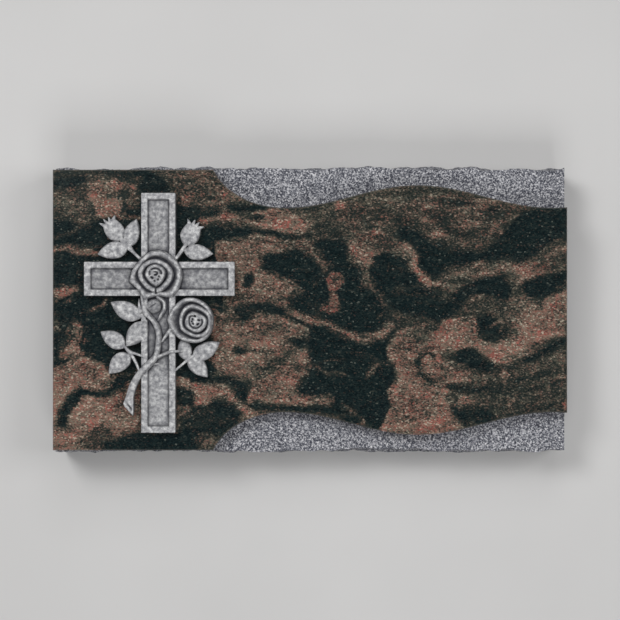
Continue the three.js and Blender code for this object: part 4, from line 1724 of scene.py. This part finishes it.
# All in the marker's frame, from the left end to the right.
BANDS = (
    Lens(OLIVE, (-279, 154, -190, 154, -190, 112, -230, 96, -279, 96)),
    Lens(DARK, (-279, 96, -230, 96, -190, 112, -100, 112, -100, -66, -190, -70, -279, -66)),
    Streak(DARK, 10, (-278, 132, -258, 136, -240, 139)),
    Streak(BROWN, 7, (-273, 123, -255, 127, -240, 127, -233, 121)),
    Streak(BROWN, 2.2, (-274, 115, -249, 116)),
    Streak(BROWN, 2.6, (-270, 102, -242, 103)),
    Streak(BROWN, 4, (-276, 77, -261, 82, -247, 89, -238, 93)),
    Streak(PINK, 6, (-277, 64, -261, 67, -249, 63, -236, 63, -226, 60)),
    Streak(BROWN, 2.5, (-252, 69, -235, 72)),
    Lens(PINK, (
        -238, 136, -223, 139, -211, 137, -205, 130, -216, 125, -205, 117, -200, 112, -205, 101,
        -222, 99, -229, 106, -231, 119, -239, 129,
    )),
    Streak(RED, 6, (-211, 138, -200, 134, -187, 129)),
    Lens(DARK, (-187, 147, -168, 147, -154, 132, -155, 125, -181, 125, -179, 134)),
    Spot(DARK, -198, 110, 6, 12),
    Spot(BROWN, -190, 115, 8, 12),
    Streak(PINK, 6, (-204, 98, -182, 98)),
    Lens(BROWN, (-152, 147, -102, 150, -84, 125, -76, 116, -97, 112, -122, 111, -142, 116)),
    Spot(RED, -130, 120, 9, 7),
    Spot(RED, -93, 122, 5, 5),
    Streak(PINK, 6, (-118, 94, -97, 98, -75, 101)),
    Spot(RED, -90, 99, 12, 4),
    Streak(BROWN, 2.2, (-117, 89, -97, 90)),
    Spot(BROWN, -107, 69, 3, 6),
    Lens(PINK, (-277, 24, -247, 25, -248, 18, -265, 10, -277, 6)),
    Spot(RED, -256, 22, 9, 4),
    Streak(PINK, 2, (-218, 14, -221, 6, -229, 2, -239, -2)),
    Spot(OLIVE, -272, -15, 9, 22),
    Lens(PINK, (
        -248, -7, -242, -15, -243, -25, -245, -35, -246, -46, -256, -51, -267, -53, -265, -42,
        -258, -33, -256, -23, -252, -13,
    )),
    Spot(DARK, -247, -23, 4, 4),
    Spot(DARK, -252, -28, 3, 3),
    Spot(BROWN, -235, -32, 3, 2),
    Lens(BROWN, (-279, -61, -184, -66, -127, -80, -127, -154, -279, -154)),
    Lens(PINK, (
        -274, -61, -256, -56, -246, -50, -234, -50, -223, -55, -217, -60, -212, -68, -214, -75,
        -221, -77, -219, -84, -229, -87, -242, -83, -246, -80, -253, -87, -263, -97, -268, -99,
        -278, -98, -278, -77,
    )),
    Spot(RED, -248, -70, 9, 7),
    Lens(PINK, (-278, -98, -268, -103, -269, -115, -278, -124)),
    Lens(DARK, (
        -246, -83, -228, -87, -217, -85, -212, -77, -210, -70, -202, -68, -184, -68, -192, -79,
        -198, -87, -210, -90, -217, -93, -231, -91, -242, -91, -246, -99, -252, -109, -255, -117,
        -253, -127, -251, -132, -261, -134, -270, -128, -269, -118, -266, -107, -261, -98,
        -253, -89,
    )),
    Lens(PINK, (
        -242, -91, -231, -91, -217, -93, -210, -91, -198, -86, -191, -82, -182, -87, -181, -109,
        -184, -126, -197, -127, -202, -131, -208, -133, -217, -127, -223, -121, -234, -127,
        -245, -132, -251, -130, -255, -118, -252, -107, -246, -98,
    )),
    Spot(RED, -236, -95, 7, 4),
    Spot(RED, -216, -106, 9, 8),
    Spot(BROWN, -238, -140, 16, 8),
    Lens(PINK, (-278, -131, -267, -130, -252, -136, -252, -152, -278, -152)),
    Lens(DARK, (-217, -142, -180, -131, -127, -133, -127, -152, -212, -152)),
    Lens(TAN, (
        -100, 74, -85, 73, -65, 81, -50, 82, -28, 76, -5, 75, 6, 73, 15, 57, 21, 46, 15, 33, 3, 23,
        -8, 19, -22, 14, -22, 2, -35, 3, -57, 6, -74, 3, -86, 9, -97, 50,
    )),
    Lens(DARK, (
        -50, 55, -44, 61, -30, 62, -14, 60, 0, 55, 7, 47, 10, 40, 6, 30, -3, 20, -14, 27, -25, 34,
        -38, 42, -48, 45,
    )),
    Spot(DARK, -65.5, 31.7, 9, 12),
    Lens(DARK, (
        -140, 80, -117, 85, -75, 90, -60, 84, -75, 78, -99, 77, -109, 64, -109, 53, -140, 53,
    )),
    Lens(PINK, (
        -67, 95, -57, 103, -35, 108, -11, 106, -1, 96, 0, 86, -11, 82, -24, 82, -37, 87, -57, 90,
    )),
    Spot(RED, -31, 93, 14, 6),
    Streak(DARK, 4.5, (-58, 84, -38, 82, -25, 78, -11, 78, 2, 80, 13, 81)),
    Spot(DARK, -57, 98, 12, 4),
    Streak(DARK, 4, (-88, 110, -66, 109, -48, 111)),
    Lens(OLIVE, (6, 96, 23, 93, 48, 85, 55, 77, 29, 76, 6, 80)),
    Lens(BROWN, (29, 115, 58, 112, 86, 106, 115, 92, 101, 90, 79, 92, 58, 89, 50, 82, 29, 99)),
    Spot(RED, 32, 112, 9, 5),
    Lens(DARK, (
        3, 75, 36, 75, 43, 56, 54, 46, 58, 32, 70, 17, 80, 3, 76, -7, 66, -20, 52, -24, 38, -21,
        23, -16, 7, -11, -5, -8, -21, -3, -21, 13, -5, 19, 7, 29, 21, 43, 15, 57,
    )),
    Lens(RED, (
        23, 37, 32, 38, 33, 32, 28, 26, 26, 19, 29, 12, 33, 3, 30, -1, 13, -2, 11, 3, 20, 6, 21, 19,
        20, 29,
    )),
    Lens(PINK, (
        37, 72, 46, 76, 58, 72, 70, 66, 70, 55, 60, 45, 62, 37, 68, 26, 70, 19, 66, 20, 59, 32,
        55, 40, 52, 50, 42, 57,
    )),
    Lens(BROWN, (50, 80, 72, 86, 93, 75, 91, 65, 69, 67, 55, 72)),
    Spot(RED, 69, 83, 6, 4),
    Lens(DARK, (
        70, 56, 86, 60, 103, 52, 113, 40, 129, 26, 139, 23, 139, -11, 115, -11, 93, -5, 83, 3,
        73, 17, 66, 29, 62, 42,
    )),
    Streak(BROWN, 5, (70, 65, 86, 67, 99, 72, 111, 62, 113, 50, 106, 45)),
    Streak(OLIVE, 2.5, (91, 23, 115, 25, 129, 22)),
    Streak(OLIVE, 2.5, (72, -7, 82, 2)),
    Lens(TAN, (
        -109, -52, -94, -43, -2, -43, 2, -58, -7, -74, -14, -86, -10, -91, 5, -90, 17, -89, 24, -95,
        17, -100, 3, -104, -25, -103, -49, -100, -65, -98, -67, -88, -65, -76, -76, -71, -89, -71,
        -101, -62,
    )),
    Lens(TAN, (
        -104, 3, -86, -5, -77, -11, -57, -7, -35, -7, -18, -16, 0, -20, -1, -31, -14, -38, -5, -43,
        -1, -51, 0, -57, -8, -67, -28, -60, -43, -66, -64, -68, -86, -71, -104, -48,
    )),
    Streak(DARK, 6, (-80, -2, -67, 3, -51, 4, -35, 1, -25, -4, -11, -10, 0, -14, 9, -18)),
    Spot(DARK, -68, -6, 12, 7),
    Streak(OLIVE, 8, (-1, -27, -14, -40, -31, -53, -45, -63, -60, -64)),
    Spot(DARK, -75, -44, 14, 8),
    Spot(DARK, -12, -35, 15, 7),
    Lens(OLIVE, (-62, -58, -49, -56, -37, -59, -43, -68, -50, -73, -59, -70)),
    Spot(RED, -22, -76, 16, 12),
    Spot(RED, -52, -56, 5, 4),
    Spot(RED, -7, -97, 9, 5),
    Lens(DARK, (
        0, -20, 23, -18, 36, -24, 48, -31, 62, -36, 79, -30, 88, -24, 82, -40, 85, -58, 90, -73,
        84, -92, 78, -134, 56, -128, 33, -115, 26, -103, 24, -95, 17, -89, -4, -91, -14, -86,
        -5, -73, 0, -59, -1, -40,
    )),
    Streak(PINK, 5, (
        -24, -1, -14, -5, -5, -8, 6, -12, 15, -13, 28, -20, 36, -24, 46, -28, 58, -31, 69, -28,
        79, -23, 88, -16,
    )),
    Streak(PINK, 2.6, (60, -70, 69, -61, 74, -56)),
    Streak(OLIVE, 3.5, (5, -59, 18, -67, 38, -68)),
    Streak(BROWN, 5, (33, -100, 48, -110, 59, -121)),
    Lens(DARK, (
        -94, -71, -79, -72, -68, -77, -66, -98, -64, -103, -73, -97, -80, -89, -88, -80, -109, -76,
        -112, -71,
    )),
    Lens(PINK, (
        -139, -73, -130, -76, -119, -80, -109, -77, -95, -80, -86, -86, -79, -97, -65, -104,
        -62, -109, -43, -109, -55, -115, -68, -115, -77, -107, -89, -95, -100, -95, -104, -100,
        -110, -101, -124, -95, -125, -89, -133, -83, -139, -79,
    )),
    Streak(PINK, 3, (-45, -109, -25, -111, -9, -111)),
    Streak(BROWN, 3, (6, -112, 35, -112)),
    Spot(RED, -73, -107, 8, 6),
    Streak(DARK, 4.5, (-65, -103, -37, -103.5, -10, -106, 26, -108)),
    Lens(DARK, (
        -127, -101, -109, -103, -100, -98, -82, -103, -71, -113, -82, -122, -94, -133, -116, -133,
        -119, -152, -143, -152, -139, -113, -130, -109,
    )),
    Lens(DARK, (-143, -82, -127, -86, -125, -98, -143, -103)),
    Lens(PINK, (-143, -112, -137, -106, -128, -105, -132, -110, -142, -117)),
    Spot(RED, -122, -138, 5, 10),
    Spot(PINK, -106, -141, 16, 9),
    Lens(BROWN, (
        96, 108, 108, 113, 142, 120, 207, 120, 250, 111, 224, 101, 213, 91, 200, 71, 187, 67,
        161, 64, 145, 68, 131, 75, 123, 84, 111, 90, 96, 90,
    )),
    Spot(RED, 123, 96, 11, 5),
    Spot(RED, 136, 80, 8, 5),
    Spot(RED, 199, 91, 9, 5),
    Spot(PINK, 177, 111, 22, 7),
    Streak(DARK, 3, (136, 118, 155, 116, 178, 112)),
    Spot(DARK, 195, 106, 10, 6),
    Lens(DARK, (
        96, 89, 110, 89, 122, 84, 129, 75, 142, 68, 161, 63, 182, 64, 198, 65, 207, 62, 196, 55,
        182, 53, 170, 48, 161, 46, 147, 43, 140, 36, 134, 32, 130, 32, 124, 39, 118, 43, 116, 53,
        115, 63, 105, 72, 96, 76,
    )),
    Lens(DARK, (
        212, 90, 219, 98, 233, 105, 278, 112, 278, 79, 264, 75, 251, 65, 241, 56, 227, 51, 219, 53,
        210, 63, 200, 69, 204, 80,
    )),
    Lens(DARK, (
        175, 32, 184, 36, 204, 36, 211, 29, 218, 16, 204, 11, 184, 13, 171, 13, 161, 3, 145, -10,
        134, -8, 140, 6, 156, 18,
    )),
    Lens(DARK, (225, 29, 247, 38, 278, 43, 278, 25, 264, 18, 247, 16, 233, 13, 227, 21)),
    Lens(OLIVE, (210, 32, 219, 34, 225, 25, 224, 16, 215, 18)),
    Streak(PINK, 5.5, (98, 72, 108, 64, 114, 56, 111, 46, 118, 39, 126, 29, 134, 28)),
    Spot(RED, 122, 34, 10, 7),
    Streak(PINK, 4, (134, 28, 142, 31, 156, 38, 168, 43, 186, 50)),
    Streak(PINK, 2.6, (168, 37, 177, 36, 184, 39, 195, 41, 207, 46, 220, 43)),
    Lens(RED, (221, 43, 227, 48, 235, 51, 247, 53, 249, 49, 240, 43, 231, 39, 224, 38)),
    Streak(PINK, 3, (246, 51, 258, 60, 268, 64, 277, 67)),
    Streak(BROWN, 2.5, (253, 67, 261, 71, 268, 76, 277, 80)),
    Streak(PINK, 3, (221, 29, 233, 35, 242, 40, 253, 41, 265, 42)),
    Lens(PINK, (
        278, 26, 264, 17, 256, 10, 247, 2, 235, 3, 227, 0, 225, -8, 212, -11, 210, -16, 218, -25,
        212, -32, 198, -34, 184, -33, 182, -41, 182, -48, 189, -55, 203, -57, 218, -54, 235, -47,
        258, -33, 268, -21, 263, -12, 278, -8,
    )),
    Spot(RED, 200, -50, 12, 7),
    Spot(RED, 250, -23, 10, 7),
    Lens(DARK, (
        180, -10, 189, -5, 200, -5, 207, -10, 212, -19, 210, -28, 200, -33, 189, -32, 181, -27,
        177, -19,
    )),
    Streak(PINK, 2.6, (192, -18, 204, -12, 206, -19, 203, -23)),
    Streak(BROWN, 2.2, (198, -5, 212, 3, 219, 6)),
    Streak(BROWN, 2.4, (168, 6, 184, 10, 204, 9, 223, 12)),
    Streak(PINK, 3.6, (94, -25, 108, -19, 125, -16)),
    Streak(PINK, 2.4, (121, -9, 133, -15)),
    Spot(BROWN, 107, -8, 6, 4),
    Lens(PINK, (
        83, -41, 90, -35, 102, -29, 118, -29, 133, -27, 140, -19, 147, -13, 159, -9, 173, -7,
        178, -15, 177, -27, 180, -37, 169, -42, 152, -45, 147, -51, 165, -62, 176, -72, 176, -80,
        152, -84, 140, -92, 147, -103, 158, -111, 165, -123, 165, -134, 127, -137, 79, -133,
        83, -114, 88, -103, 86, -93, 92, -80, 94, -70, 85, -54,
    )),
    Spot(RED, 137, -28, 18, 8),
    Spot(RED, 133, -120, 12, 10),
    Spot(RED, 126, -128, 12, 5),
    Streak(DARK, 2.8, (134, -48, 125, -46, 118, -50, 115, -57, 118, -67, 123, -73, 131, -76)),
    Lens(OLIVE, (
        165, -134, 200, -134, 278, -114, 278, -33, 256, -40, 230, -51, 211, -58, 198, -59, 182, -51,
        198, -80, 176, -88, 158, -110,
    )),
    Lens(DARK, (
        147, -50, 159, -45, 172, -42, 181, -48, 185, -54, 197, -59, 191, -67, 176, -62, 165, -58,
        152, -55,
    )),
    Spot(PINK, 163, -69, 18, 10),
    Streak(DARK, 4.5, (150, -83, 165, -83, 178, -86, 192, -81)),
    Spot(PINK, 171, -96, 18, 7),
    Spot(DARK, 188, -113, 18, 13),
    Streak(DARK, 3.6, (153, -104, 162, -114, 171, -126)),
    Streak(DARK, 5.5, (228, -55, 243, -49, 263, -38, 277, -32)),
    Spot(PINK, 208, -70, 7, 9),
    Spot(BROWN, 237, -62, 14, 8),
    Spot(BROWN, 270, -75, 9, 16),
    Spot(RED, 272, -101, 5, 8),
)


@dataclass
class BandMap:
    """Where the plate's bands run, seen from above. Later bands lie on earlier ones.

    Attributes:
        patches: The bands.
        soft: Half the width over which a band fades out.
        frayed: How far thin layers along the edges fray them.
        layers: Those layers, over the distance from the edge and over x and y together.
        ripples: How far places are moved along and across before the bands are read.
        torn: How far the edges are torn.
        bends: How far the wisps are bent along and across.
        wisps: Wisps of lighter and darker stone.
        flush: How warm the stone is between the bands.
        haze: Long clouds that even the bands out.
        ground: The share of light crystals between the bands, and how warm they are.
        wispy: How far the wisps move that share.
        veined: How strongly wisps and layers vein a band.
        vein_gain: How much of that a dark band takes, and any other.
        red_cover: How much of what lies below a red band it hides.
        haze_pale: The share of light crystals in the haze.
        haze_cover: How much of the bands it hides.
        film: How far wisps show over light bands.
    """

    patches: tuple[Patch, ...] = BANDS
    soft: float = 4.2
    frayed: float = 4.4
    layers: Grain = Grain(40, 4.2, 30.0, 3)
    ripples: tuple[Grain, Grain] = (Grain(13, 15, 12, 3, 1.6), Grain(17, 15, 12, 3, 1.6))
    torn: Grain = Grain(34, 6, 5, 3, 1.7)
    bends: tuple[Grain, Grain] = (Grain(5, 90, 60, 2, 16), Grain(8, 90, 60, 2, 13))
    wisps: Grain = Grain(21, 34, 7, 4)
    flush: Grain = Grain(55, 30, 12, 3, 0.15)
    haze: Grain = Grain(77, 46, 8, 4)
    ground: Point = (0.42, 0.2)
    wispy: float = 0.18
    veined: Point = (0.09, 0.16)
    vein_gain: Point = (0.75, 1.2)
    red_cover: float = 0.6
    haze_pale: float = 0.36
    haze_cover: float = 0.5
    film: float = 0.07

    def painted(self, x: Array, y: Array) -> tuple[Array, Array]:
        """Works out the bands at places seen from above.

        Args:
            x: Their x.
            y: Their y.

        Returns:
            The share of light crystals, and how warm they are.
        """
        near_x, near_y = x + self.ripples[0].at(x, y), y + self.ripples[1].at(x, y)
        bend_x, bend_y = x + self.bends[0].at(x, y), y + self.bends[1].at(x, y)
        torn, wisps = self.torn.at(x, y), self.wisps.at(bend_x, bend_y)
        pale = self.ground[0] + self.wispy * wisps
        warm = self.ground[1] + self.flush.at(bend_x, bend_y)
        for patch in self.patches:
            west, south = patch.knots.min(0) - patch.margin
            east, north = patch.knots.max(0) + patch.margin
            inside = (near_x > west) & (near_x < east) & (near_y > south) & (near_y < north)
            at = np.nonzero(inside)[0]
            depth = patch.depth(near_x[at], near_y[at])
            layers = self.layers.at(depth, x[at] + y[at])
            torn_depth = depth + patch.tear * (torn[at] + self.frayed * layers)
            share = eased(torn_depth, -self.soft, self.soft)
            if patch.band is RED:
                share = self.red_cover * share
            light, flush = patch.band.value
            veins = self.veined[0] * wisps[at] + self.veined[1] * patch.tear * layers
            gain = self.vein_gain[patch.band is not DARK]
            pale[at] += share * (light + gain * veins - pale[at])
            warm[at] += share * (flush - warm[at])
        haze = eased(self.haze.at(bend_x, bend_y), 0.0, 0.9)
        film = eased(pale, 0.1, 0.4) * self.film * wisps
        pale = pale + self.haze_cover * haze * (self.haze_pale - pale) + film
        return np.clip(pale, 0, 1), np.clip(warm, 0, 1)


@dataclass
class Plate:
    """The polished plate, with one wave cut into each long edge.

    Attributes:
        length: Its length.
        depth: Its depth where it isn't cut back.
        low: Height of its underside.
        top: Height of its face.
        chamfer: Width of the chamfer round its face.
        first_trough_x: X at which the wave starts, where the plate is narrowest.
        crest_x: X of the wave's crest.
        last_trough_x: X of its last trough.
        trough_y: Half the plate's depth at a trough.
        crest_y: Half its depth at the crest.
        arc_length: Length of the elliptical arc that leads in from the long edge.
        arc_depth: Its depth.
        columns: Cells along it.
        rows: Cells across it.
        side_rows: Cells down its sides.
        slant: How the bands drift along and across on the way down its sides.
        draw: How late the face's rows are drawn in towards the chamfer.
        crease: Angle in degrees from which an edge looks sharp.
        bands: Its bands.
    """

    length: float = 550.0
    depth: float = 300.0
    low: float = 60.3
    top: float = 80.0
    chamfer: float = 1.2
    first_trough_x: float = -26.6
    crest_x: float = 114.5
    last_trough_x: float = 259.8
    trough_y: float = 109.3
    crest_y: float = 133.4
    arc_length: float = 82.0
    arc_depth: float = 62.0
    columns: int = 370
    rows: int = 236
    side_rows: int = 5
    slant: Point = (0.5, 0.7)
    draw: int = 30
    crease: float = 30.0
    bands: BandMap = field(default_factory=BandMap)

    def half_depth(self, x: Array) -> Array:
        """Gives the distance from the middle line to the upper edge.

        Args:
            x: Places along the plate.

        Returns:
            The distances.
        """
        share = np.clip((self.first_trough_x - x) / self.arc_length, 0, 1)
        arc = self.trough_y + self.arc_depth * (1 - np.sqrt(1 - share**2))
        rising = (x - self.first_trough_x) / (self.crest_x - self.first_trough_x)
        falling = 1 + (x - self.crest_x) / (self.last_trough_x - self.crest_x)
        turn = np.where(x < self.crest_x, rising, falling)
        middle, swing = (self.crest_y + self.trough_y) / 2, (self.crest_y - self.trough_y) / 2
        wave = middle - swing * np.cos(np.pi * turn)
        return np.where(x < self.first_trough_x, np.minimum(arc, self.depth / 2), wave)

    def _inset(self, edge: Array) -> Array:
        """Draws the plate's edge in by the chamfer.

        Args:
            edge: Its points in order, one row each.

        Returns:
            The points of the face's edge.
        """
        way = np.roll(edge, -1, axis=0) - np.roll(edge, 1, axis=0)
        inward = np.column_stack([-way[:, 1], way[:, 0]]) / np.hypot(*way.T)[:, None]
        for at in np.nonzero(np.abs(np.abs(edge[:, 0]) - self.length / 2) < 1e-6)[0]:
            across = inward[at, 1] if abs(way[at, 0]) > 1e-6 else 0
            inward[at] = (-np.sign(edge[at, 0]), across)
        return edge + inward * self.chamfer

    def build(self) -> None:
        """Builds the plate as one closed mesh."""
        share = (self.depth / 2 - self.trough_y) / self.arc_depth
        corner = self.first_trough_x - self.arc_length * math.sqrt(1 - (1 - share) ** 2)
        across = np.linspace(-self.length / 2, self.length / 2, self.columns + 1)
        across[np.abs(across - corner).argmin()] = corner
        half, up = self.half_depth(across)[:, None], np.linspace(-1, 1, self.rows + 1)
        number = np.arange(across.size * up.size).reshape(across.size, up.size)
        sides = (number[:-1, 0], number[-1, :-1], number[:0:-1, -1], number[0, :0:-1])
        loop = np.concatenate(sides)
        x, y = np.repeat(across, up.size), (half * up).ravel()
        edge = np.column_stack([x[loop], y[loop]])
        y *= (1 - self.chamfer / half * np.abs(up) ** self.draw).ravel()
        x[loop], y[loop] = self._inset(edge).T
        rows = [np.column_stack([x, y, np.full(x.size, self.top)])]
        faces = quads(number).tolist()
        kinds = [0] * len(faces)
        upper = loop
        heights = np.linspace(self.top - self.chamfer, self.low, self.side_rows + 1)
        for level, height in enumerate(heights):
            rows.append(np.column_stack([edge, np.full(len(edge), height)]))
            lower = x.size + level * len(loop) + np.arange(len(loop))
            ring = [np.roll(upper, -1), upper, lower, np.roll(lower, -1)]
            faces += np.column_stack(ring).tolist()
            kinds += [int(level == 0)] * len(loop)
            upper = lower
        faces.append(upper[::-1].tolist())
        kinds.append(1)
        points = np.vstack(rows)
        finishes = [BandedGranite(polish).material() for polish in Polish]
        made = new_object("banded_granite_plate", points, faces, finishes, kinds)
        made.data.set_sharp_from_angle(angle=math.radians(self.crease))
        sink = self.top - points[:, 2]
        drift_x, drift_y = points[:, 0] + self.slant[0] * sink, points[:, 1] + self.slant[1] * sink
        pale, warm = self.bands.painted(drift_x, drift_y)
        store(made, "flow", np.column_stack([drift_x, drift_y, sink]))
        store(made, "pale", pale)
        store(made, "warm", warm)
        joined_to_part(made, "polished_granite_plate")


class Side(Enum):
    """A long side of the base, as the sign of its y."""

    FAR = 1
    NEAR = -1


@dataclass
class Base:
    """The grey granite base with two split sides.

    Attributes:
        length: Its length.
        height: Its height.
        side_reach: How far the boldest point of a split side stands from the middle line.
        side_depth: From that point to the deepest hollow.
        top_set_back: How far the upper arris is knocked back.
        columns: Facets along a split side.
        rows: Facets up a split side.
        jitter: Share of a facet by which its corner leaves the even grid.
        swell_columns: Columns over which the side swells and dips.
        swell_share: How much of the depth is in that swell.
        fine: Cells into which a facet is divided each way.
        top_cells: Cells across the upper face.
        chips: Depth of the scallops on the facets.
        boldest: Where a scallop's depth is cut off, before it counts.
        chatter: Depth of the finest roughness.
        scallop: Width and height of a scallop.
        grit: The same of the finest roughness.
        calm: Share of the scallops' depth that is left at the arrises.
        seed: Fixes the scallops.
        crease: Angle in degrees from which an edge looks sharp.
    """

    length: float = 550.0
    height: float = 60.0
    side_reach: float = 158.0
    side_depth: float = 8.0
    top_set_back: float = 2.5
    columns: int = 44
    rows: int = 4
    jitter: float = 0.35
    swell_columns: int = 5
    swell_share: float = 0.45
    fine: int = 7
    top_cells: int = 130
    chips: float = 5.0
    boldest: float = 1.3
    chatter: float = 0.35
    scallop: Point = (24, 15)
    grit: Point = (4, 3)
    calm: float = 0.3
    seed: int = 70
    crease: float = 35.0

    def facets(self, side: Side) -> Array:
        """Gives the corners of the facets of a split side, as the part's source has them.

        Args:
            side: The side.

        Returns:
            Columns and rows of x, distance from the middle line, and height.
        """
        sign = side.value
        wild = np.zeros((self.columns + 1, self.rows + 1))
        corners = np.zeros((*wild.shape, 3))
        for i, j in np.ndindex(wild.shape):
            at, between = i // self.swell_columns, (i % self.swell_columns) / self.swell_columns
            swell = scatter(at, sign, 3) * (1 - between) + scatter(at + 1, sign, 3) * between
            back = self.top_set_back / self.side_depth if j == self.rows else 0
            own = scatter(i, j, sign)
            wild[i, j] = self.swell_share * swell + (1 - self.swell_share) * own - back
            inside, mid = 0 < i < self.columns, 0 < j < self.rows
            shift_x = (scatter(i, j, sign + 5) - 0.5) * 2 * self.jitter if inside else 0
            shift_z = (scatter(i, j, sign + 9) - 0.5) * 2 * self.jitter if mid else 0
            corners[i, j, 0] = ((i + shift_x) / self.columns - 0.5) * self.length
            corners[i, j, 2] = (j + shift_z) / self.rows * self.height
        share = (wild.max() - wild) / (wild.max() - wild.min())
        corners[..., 1] = self.side_reach - self.side_depth * share
        return corners

    def split_face(self, side: Side) -> Array:
        """Divides the facets of a split side and chips them.

        Args:
            side: The side.

        Returns:
            Columns and rows of x, y and z.
        """
        across = np.linspace(0, self.columns, self.columns * self.fine + 1)[:, None]
        up = np.linspace(0, self.rows, self.rows * self.fine + 1)[None, :]
        face = between(self.facets(side), across, up)
        x, z, seed = face[..., 0], face[..., 2], self.seed + side.value
        scallops = np.minimum(np.abs(Grain(seed, *self.scallop, 4).at(x, z)), self.boldest)
        rough = np.abs(Grain(seed, *self.grit, 3).at(x + 5 * self.scallop[0], z))
        swell = np.sin(np.pi * np.clip(z / self.height, 0, 1))
        middle = self.calm + (1 - self.calm) * swell
        face[..., 1] -= middle * self.chips * scallops + self.chatter * rough
        face[..., 1] *= side.value
        return face

    def build(self) -> None:
        """Builds the base as one closed mesh."""
        far, near = self.split_face(Side.FAR), self.split_face(Side.NEAR)
        inner = np.linspace(0, 1, self.top_cells + 1)[1:-1, None]
        top = near[:, -1, None, :] * (1 - inner) + far[:, -1, None, :] * inner
        top[..., 2] = self.height
        points = np.vstack([sheet.reshape(-1, 3) for sheet in (near, far, top)])
        near_at = np.arange(near[..., 0].size).reshape(near.shape[:2])
        far_at = near_at + near_at.size
        top_at = 2 * near_at.size + np.arange(top[..., 0].size).reshape(top.shape[:2])
        sheet = np.hstack([near_at[:, -1:], top_at, far_at[:, -1:]])
        split = [*quads(near_at).tolist(), *quads(far_at)[:, ::-1].tolist()]
        hammered = quads(sheet).tolist()
        left = [near_at[0, ::-1], far_at[0], sheet[0, -2:0:-1]]
        right = [near_at[-1], sheet[-1, 1:-1], far_at[-1, ::-1]]
        under = [near_at[::-1, 0], far_at[:, 0]]
        sawn = [np.concatenate(parts).tolist() for parts in (left, right, under)]
        kinds = [0] * len(split) + [1] * len(hammered) + [2] * len(sawn)
        dressings = (Dressing.SPLIT, Dressing.HAMMERED, Dressing.SAWN)
        finishes = [GreyGranite(dressing).material() for dressing in dressings]
        faces = split + hammered + sawn
        made = new_object("grey_granite_block", points, faces, finishes, kinds)
        made.data.set_sharp_from_angle(angle=math.radians(self.crease))
        # How far back each point lies, which paints light and shade onto the split sides.
        back = (self.side_reach - np.abs(points[:, 1])) / (self.side_depth + self.chips)
        store(made, "hollow", np.clip(back, 0, 1))
        joined_to_part(made, "grey_granite_base")


# The studio


@dataclass(frozen=True)
class Lamp:
    """A square soft light that points at the marker.

    Attributes:
        name: Its name.
        place: Its place in metres.
        size: Its width in metres.
        power: Its power in watts.
    """

    name: str
    place: tuple[float, float, float]
    size: float
    power: float

    def hang(self) -> None:
        """Hangs the light."""
        lamp = bpy.data.lights.new(self.name, "AREA")
        lamp.shape, lamp.size, lamp.energy = "SQUARE", self.size, self.power
        made = bpy.data.objects.new(self.name, lamp)
        made.location = self.place
        made.rotation_euler = made.location.to_track_quat("Z", "Y").to_euler()
        bpy.context.scene.collection.objects.link(made)


@dataclass
class Studio:
    """The floor, the lights and the camera.

    Attributes:
        eye_height: Height of the camera over the floor in metres.
        field_of_view: Width that the camera takes in at the plate's face, in metres.
        plate_top: Height of the plate's face in metres.
        sensor: Width of the camera's sensor.
        floor_reach: Half the width of the floor.
        floor_lines: Lines of points each way in the floor.
        glow: Colour of the room's faint glow.
        glow_strength: How strong that is.
        lamps: The lights.
    """

    eye_height: float = 1.775
    field_of_view: float = 0.66266
    plate_top: float = 0.08
    sensor: float = 36.0
    floor_reach: float = 3000.0
    floor_lines: int = 13
    glow: Colour = (0.95, 0.97, 1.0, 1.0)
    glow_strength: float = 0.1
    lamps: tuple[Lamp, ...] = (
        Lamp("key_light", (-0.95, 0.85, 2.1), 0.8, 27.0),
        Lamp("fill_light", (1.5, 0.3, 2.0), 1.1, 17.0),
        Lamp("front_light", (0.1, -1.5, 1.9), 1.1, 19.0),
        Lamp("back_light", (0.2, 1.7, 1.9), 1.0, 8.0),
    )

    def floor(self) -> None:
        """Lays the floor."""
        across = np.linspace(-self.floor_reach, self.floor_reach, self.floor_lines)
        x, y = np.meshgrid(across, across, indexing="ij")
        faces = quads(np.arange(x.size).reshape(x.shape)).tolist()
        points = np.column_stack([x.ravel(), y.ravel(), np.zeros(x.size)])
        new_object("floor", points, faces, [PaleFloor().material()])
        log.info("floor")

    def lights(self) -> None:
        """Sets up the lights and the room's faint glow."""
        for lamp in self.lamps:
            lamp.hang()
        world = bpy.data.worlds.new("studio")
        world.use_nodes = True
        background = world.node_tree.nodes["Background"]
        background.inputs["Color"].default_value = self.glow
        background.inputs["Strength"].default_value = self.glow_strength
        bpy.context.scene.world = world
        bpy.context.scene.view_settings.view_transform = "Standard"
        log.info("lights")

    def camera(self) -> None:
        """Places the camera straight above the middle of the plate."""
        lens = bpy.data.cameras.new("camera")
        lens.sensor_width = self.sensor
        lens.lens = self.sensor * (self.eye_height - self.plate_top) / self.field_of_view
        made = bpy.data.objects.new("camera", lens)
        made.location = (0.0, 0.0, self.eye_height)
        bpy.context.scene.collection.objects.link(made)
        bpy.context.scene.camera = made
        log.info("camera")


def main() -> None:
    """Builds the marker and its studio in order."""
    logging.basicConfig(level=logging.INFO, format="%(name)s: %(message)s")
    studio = Studio()
    studio.camera()
    studio.floor()
    studio.lights()
    Base().build()
    Plate().build()
    Casting().build()


if __name__ == "__main__":
    main()
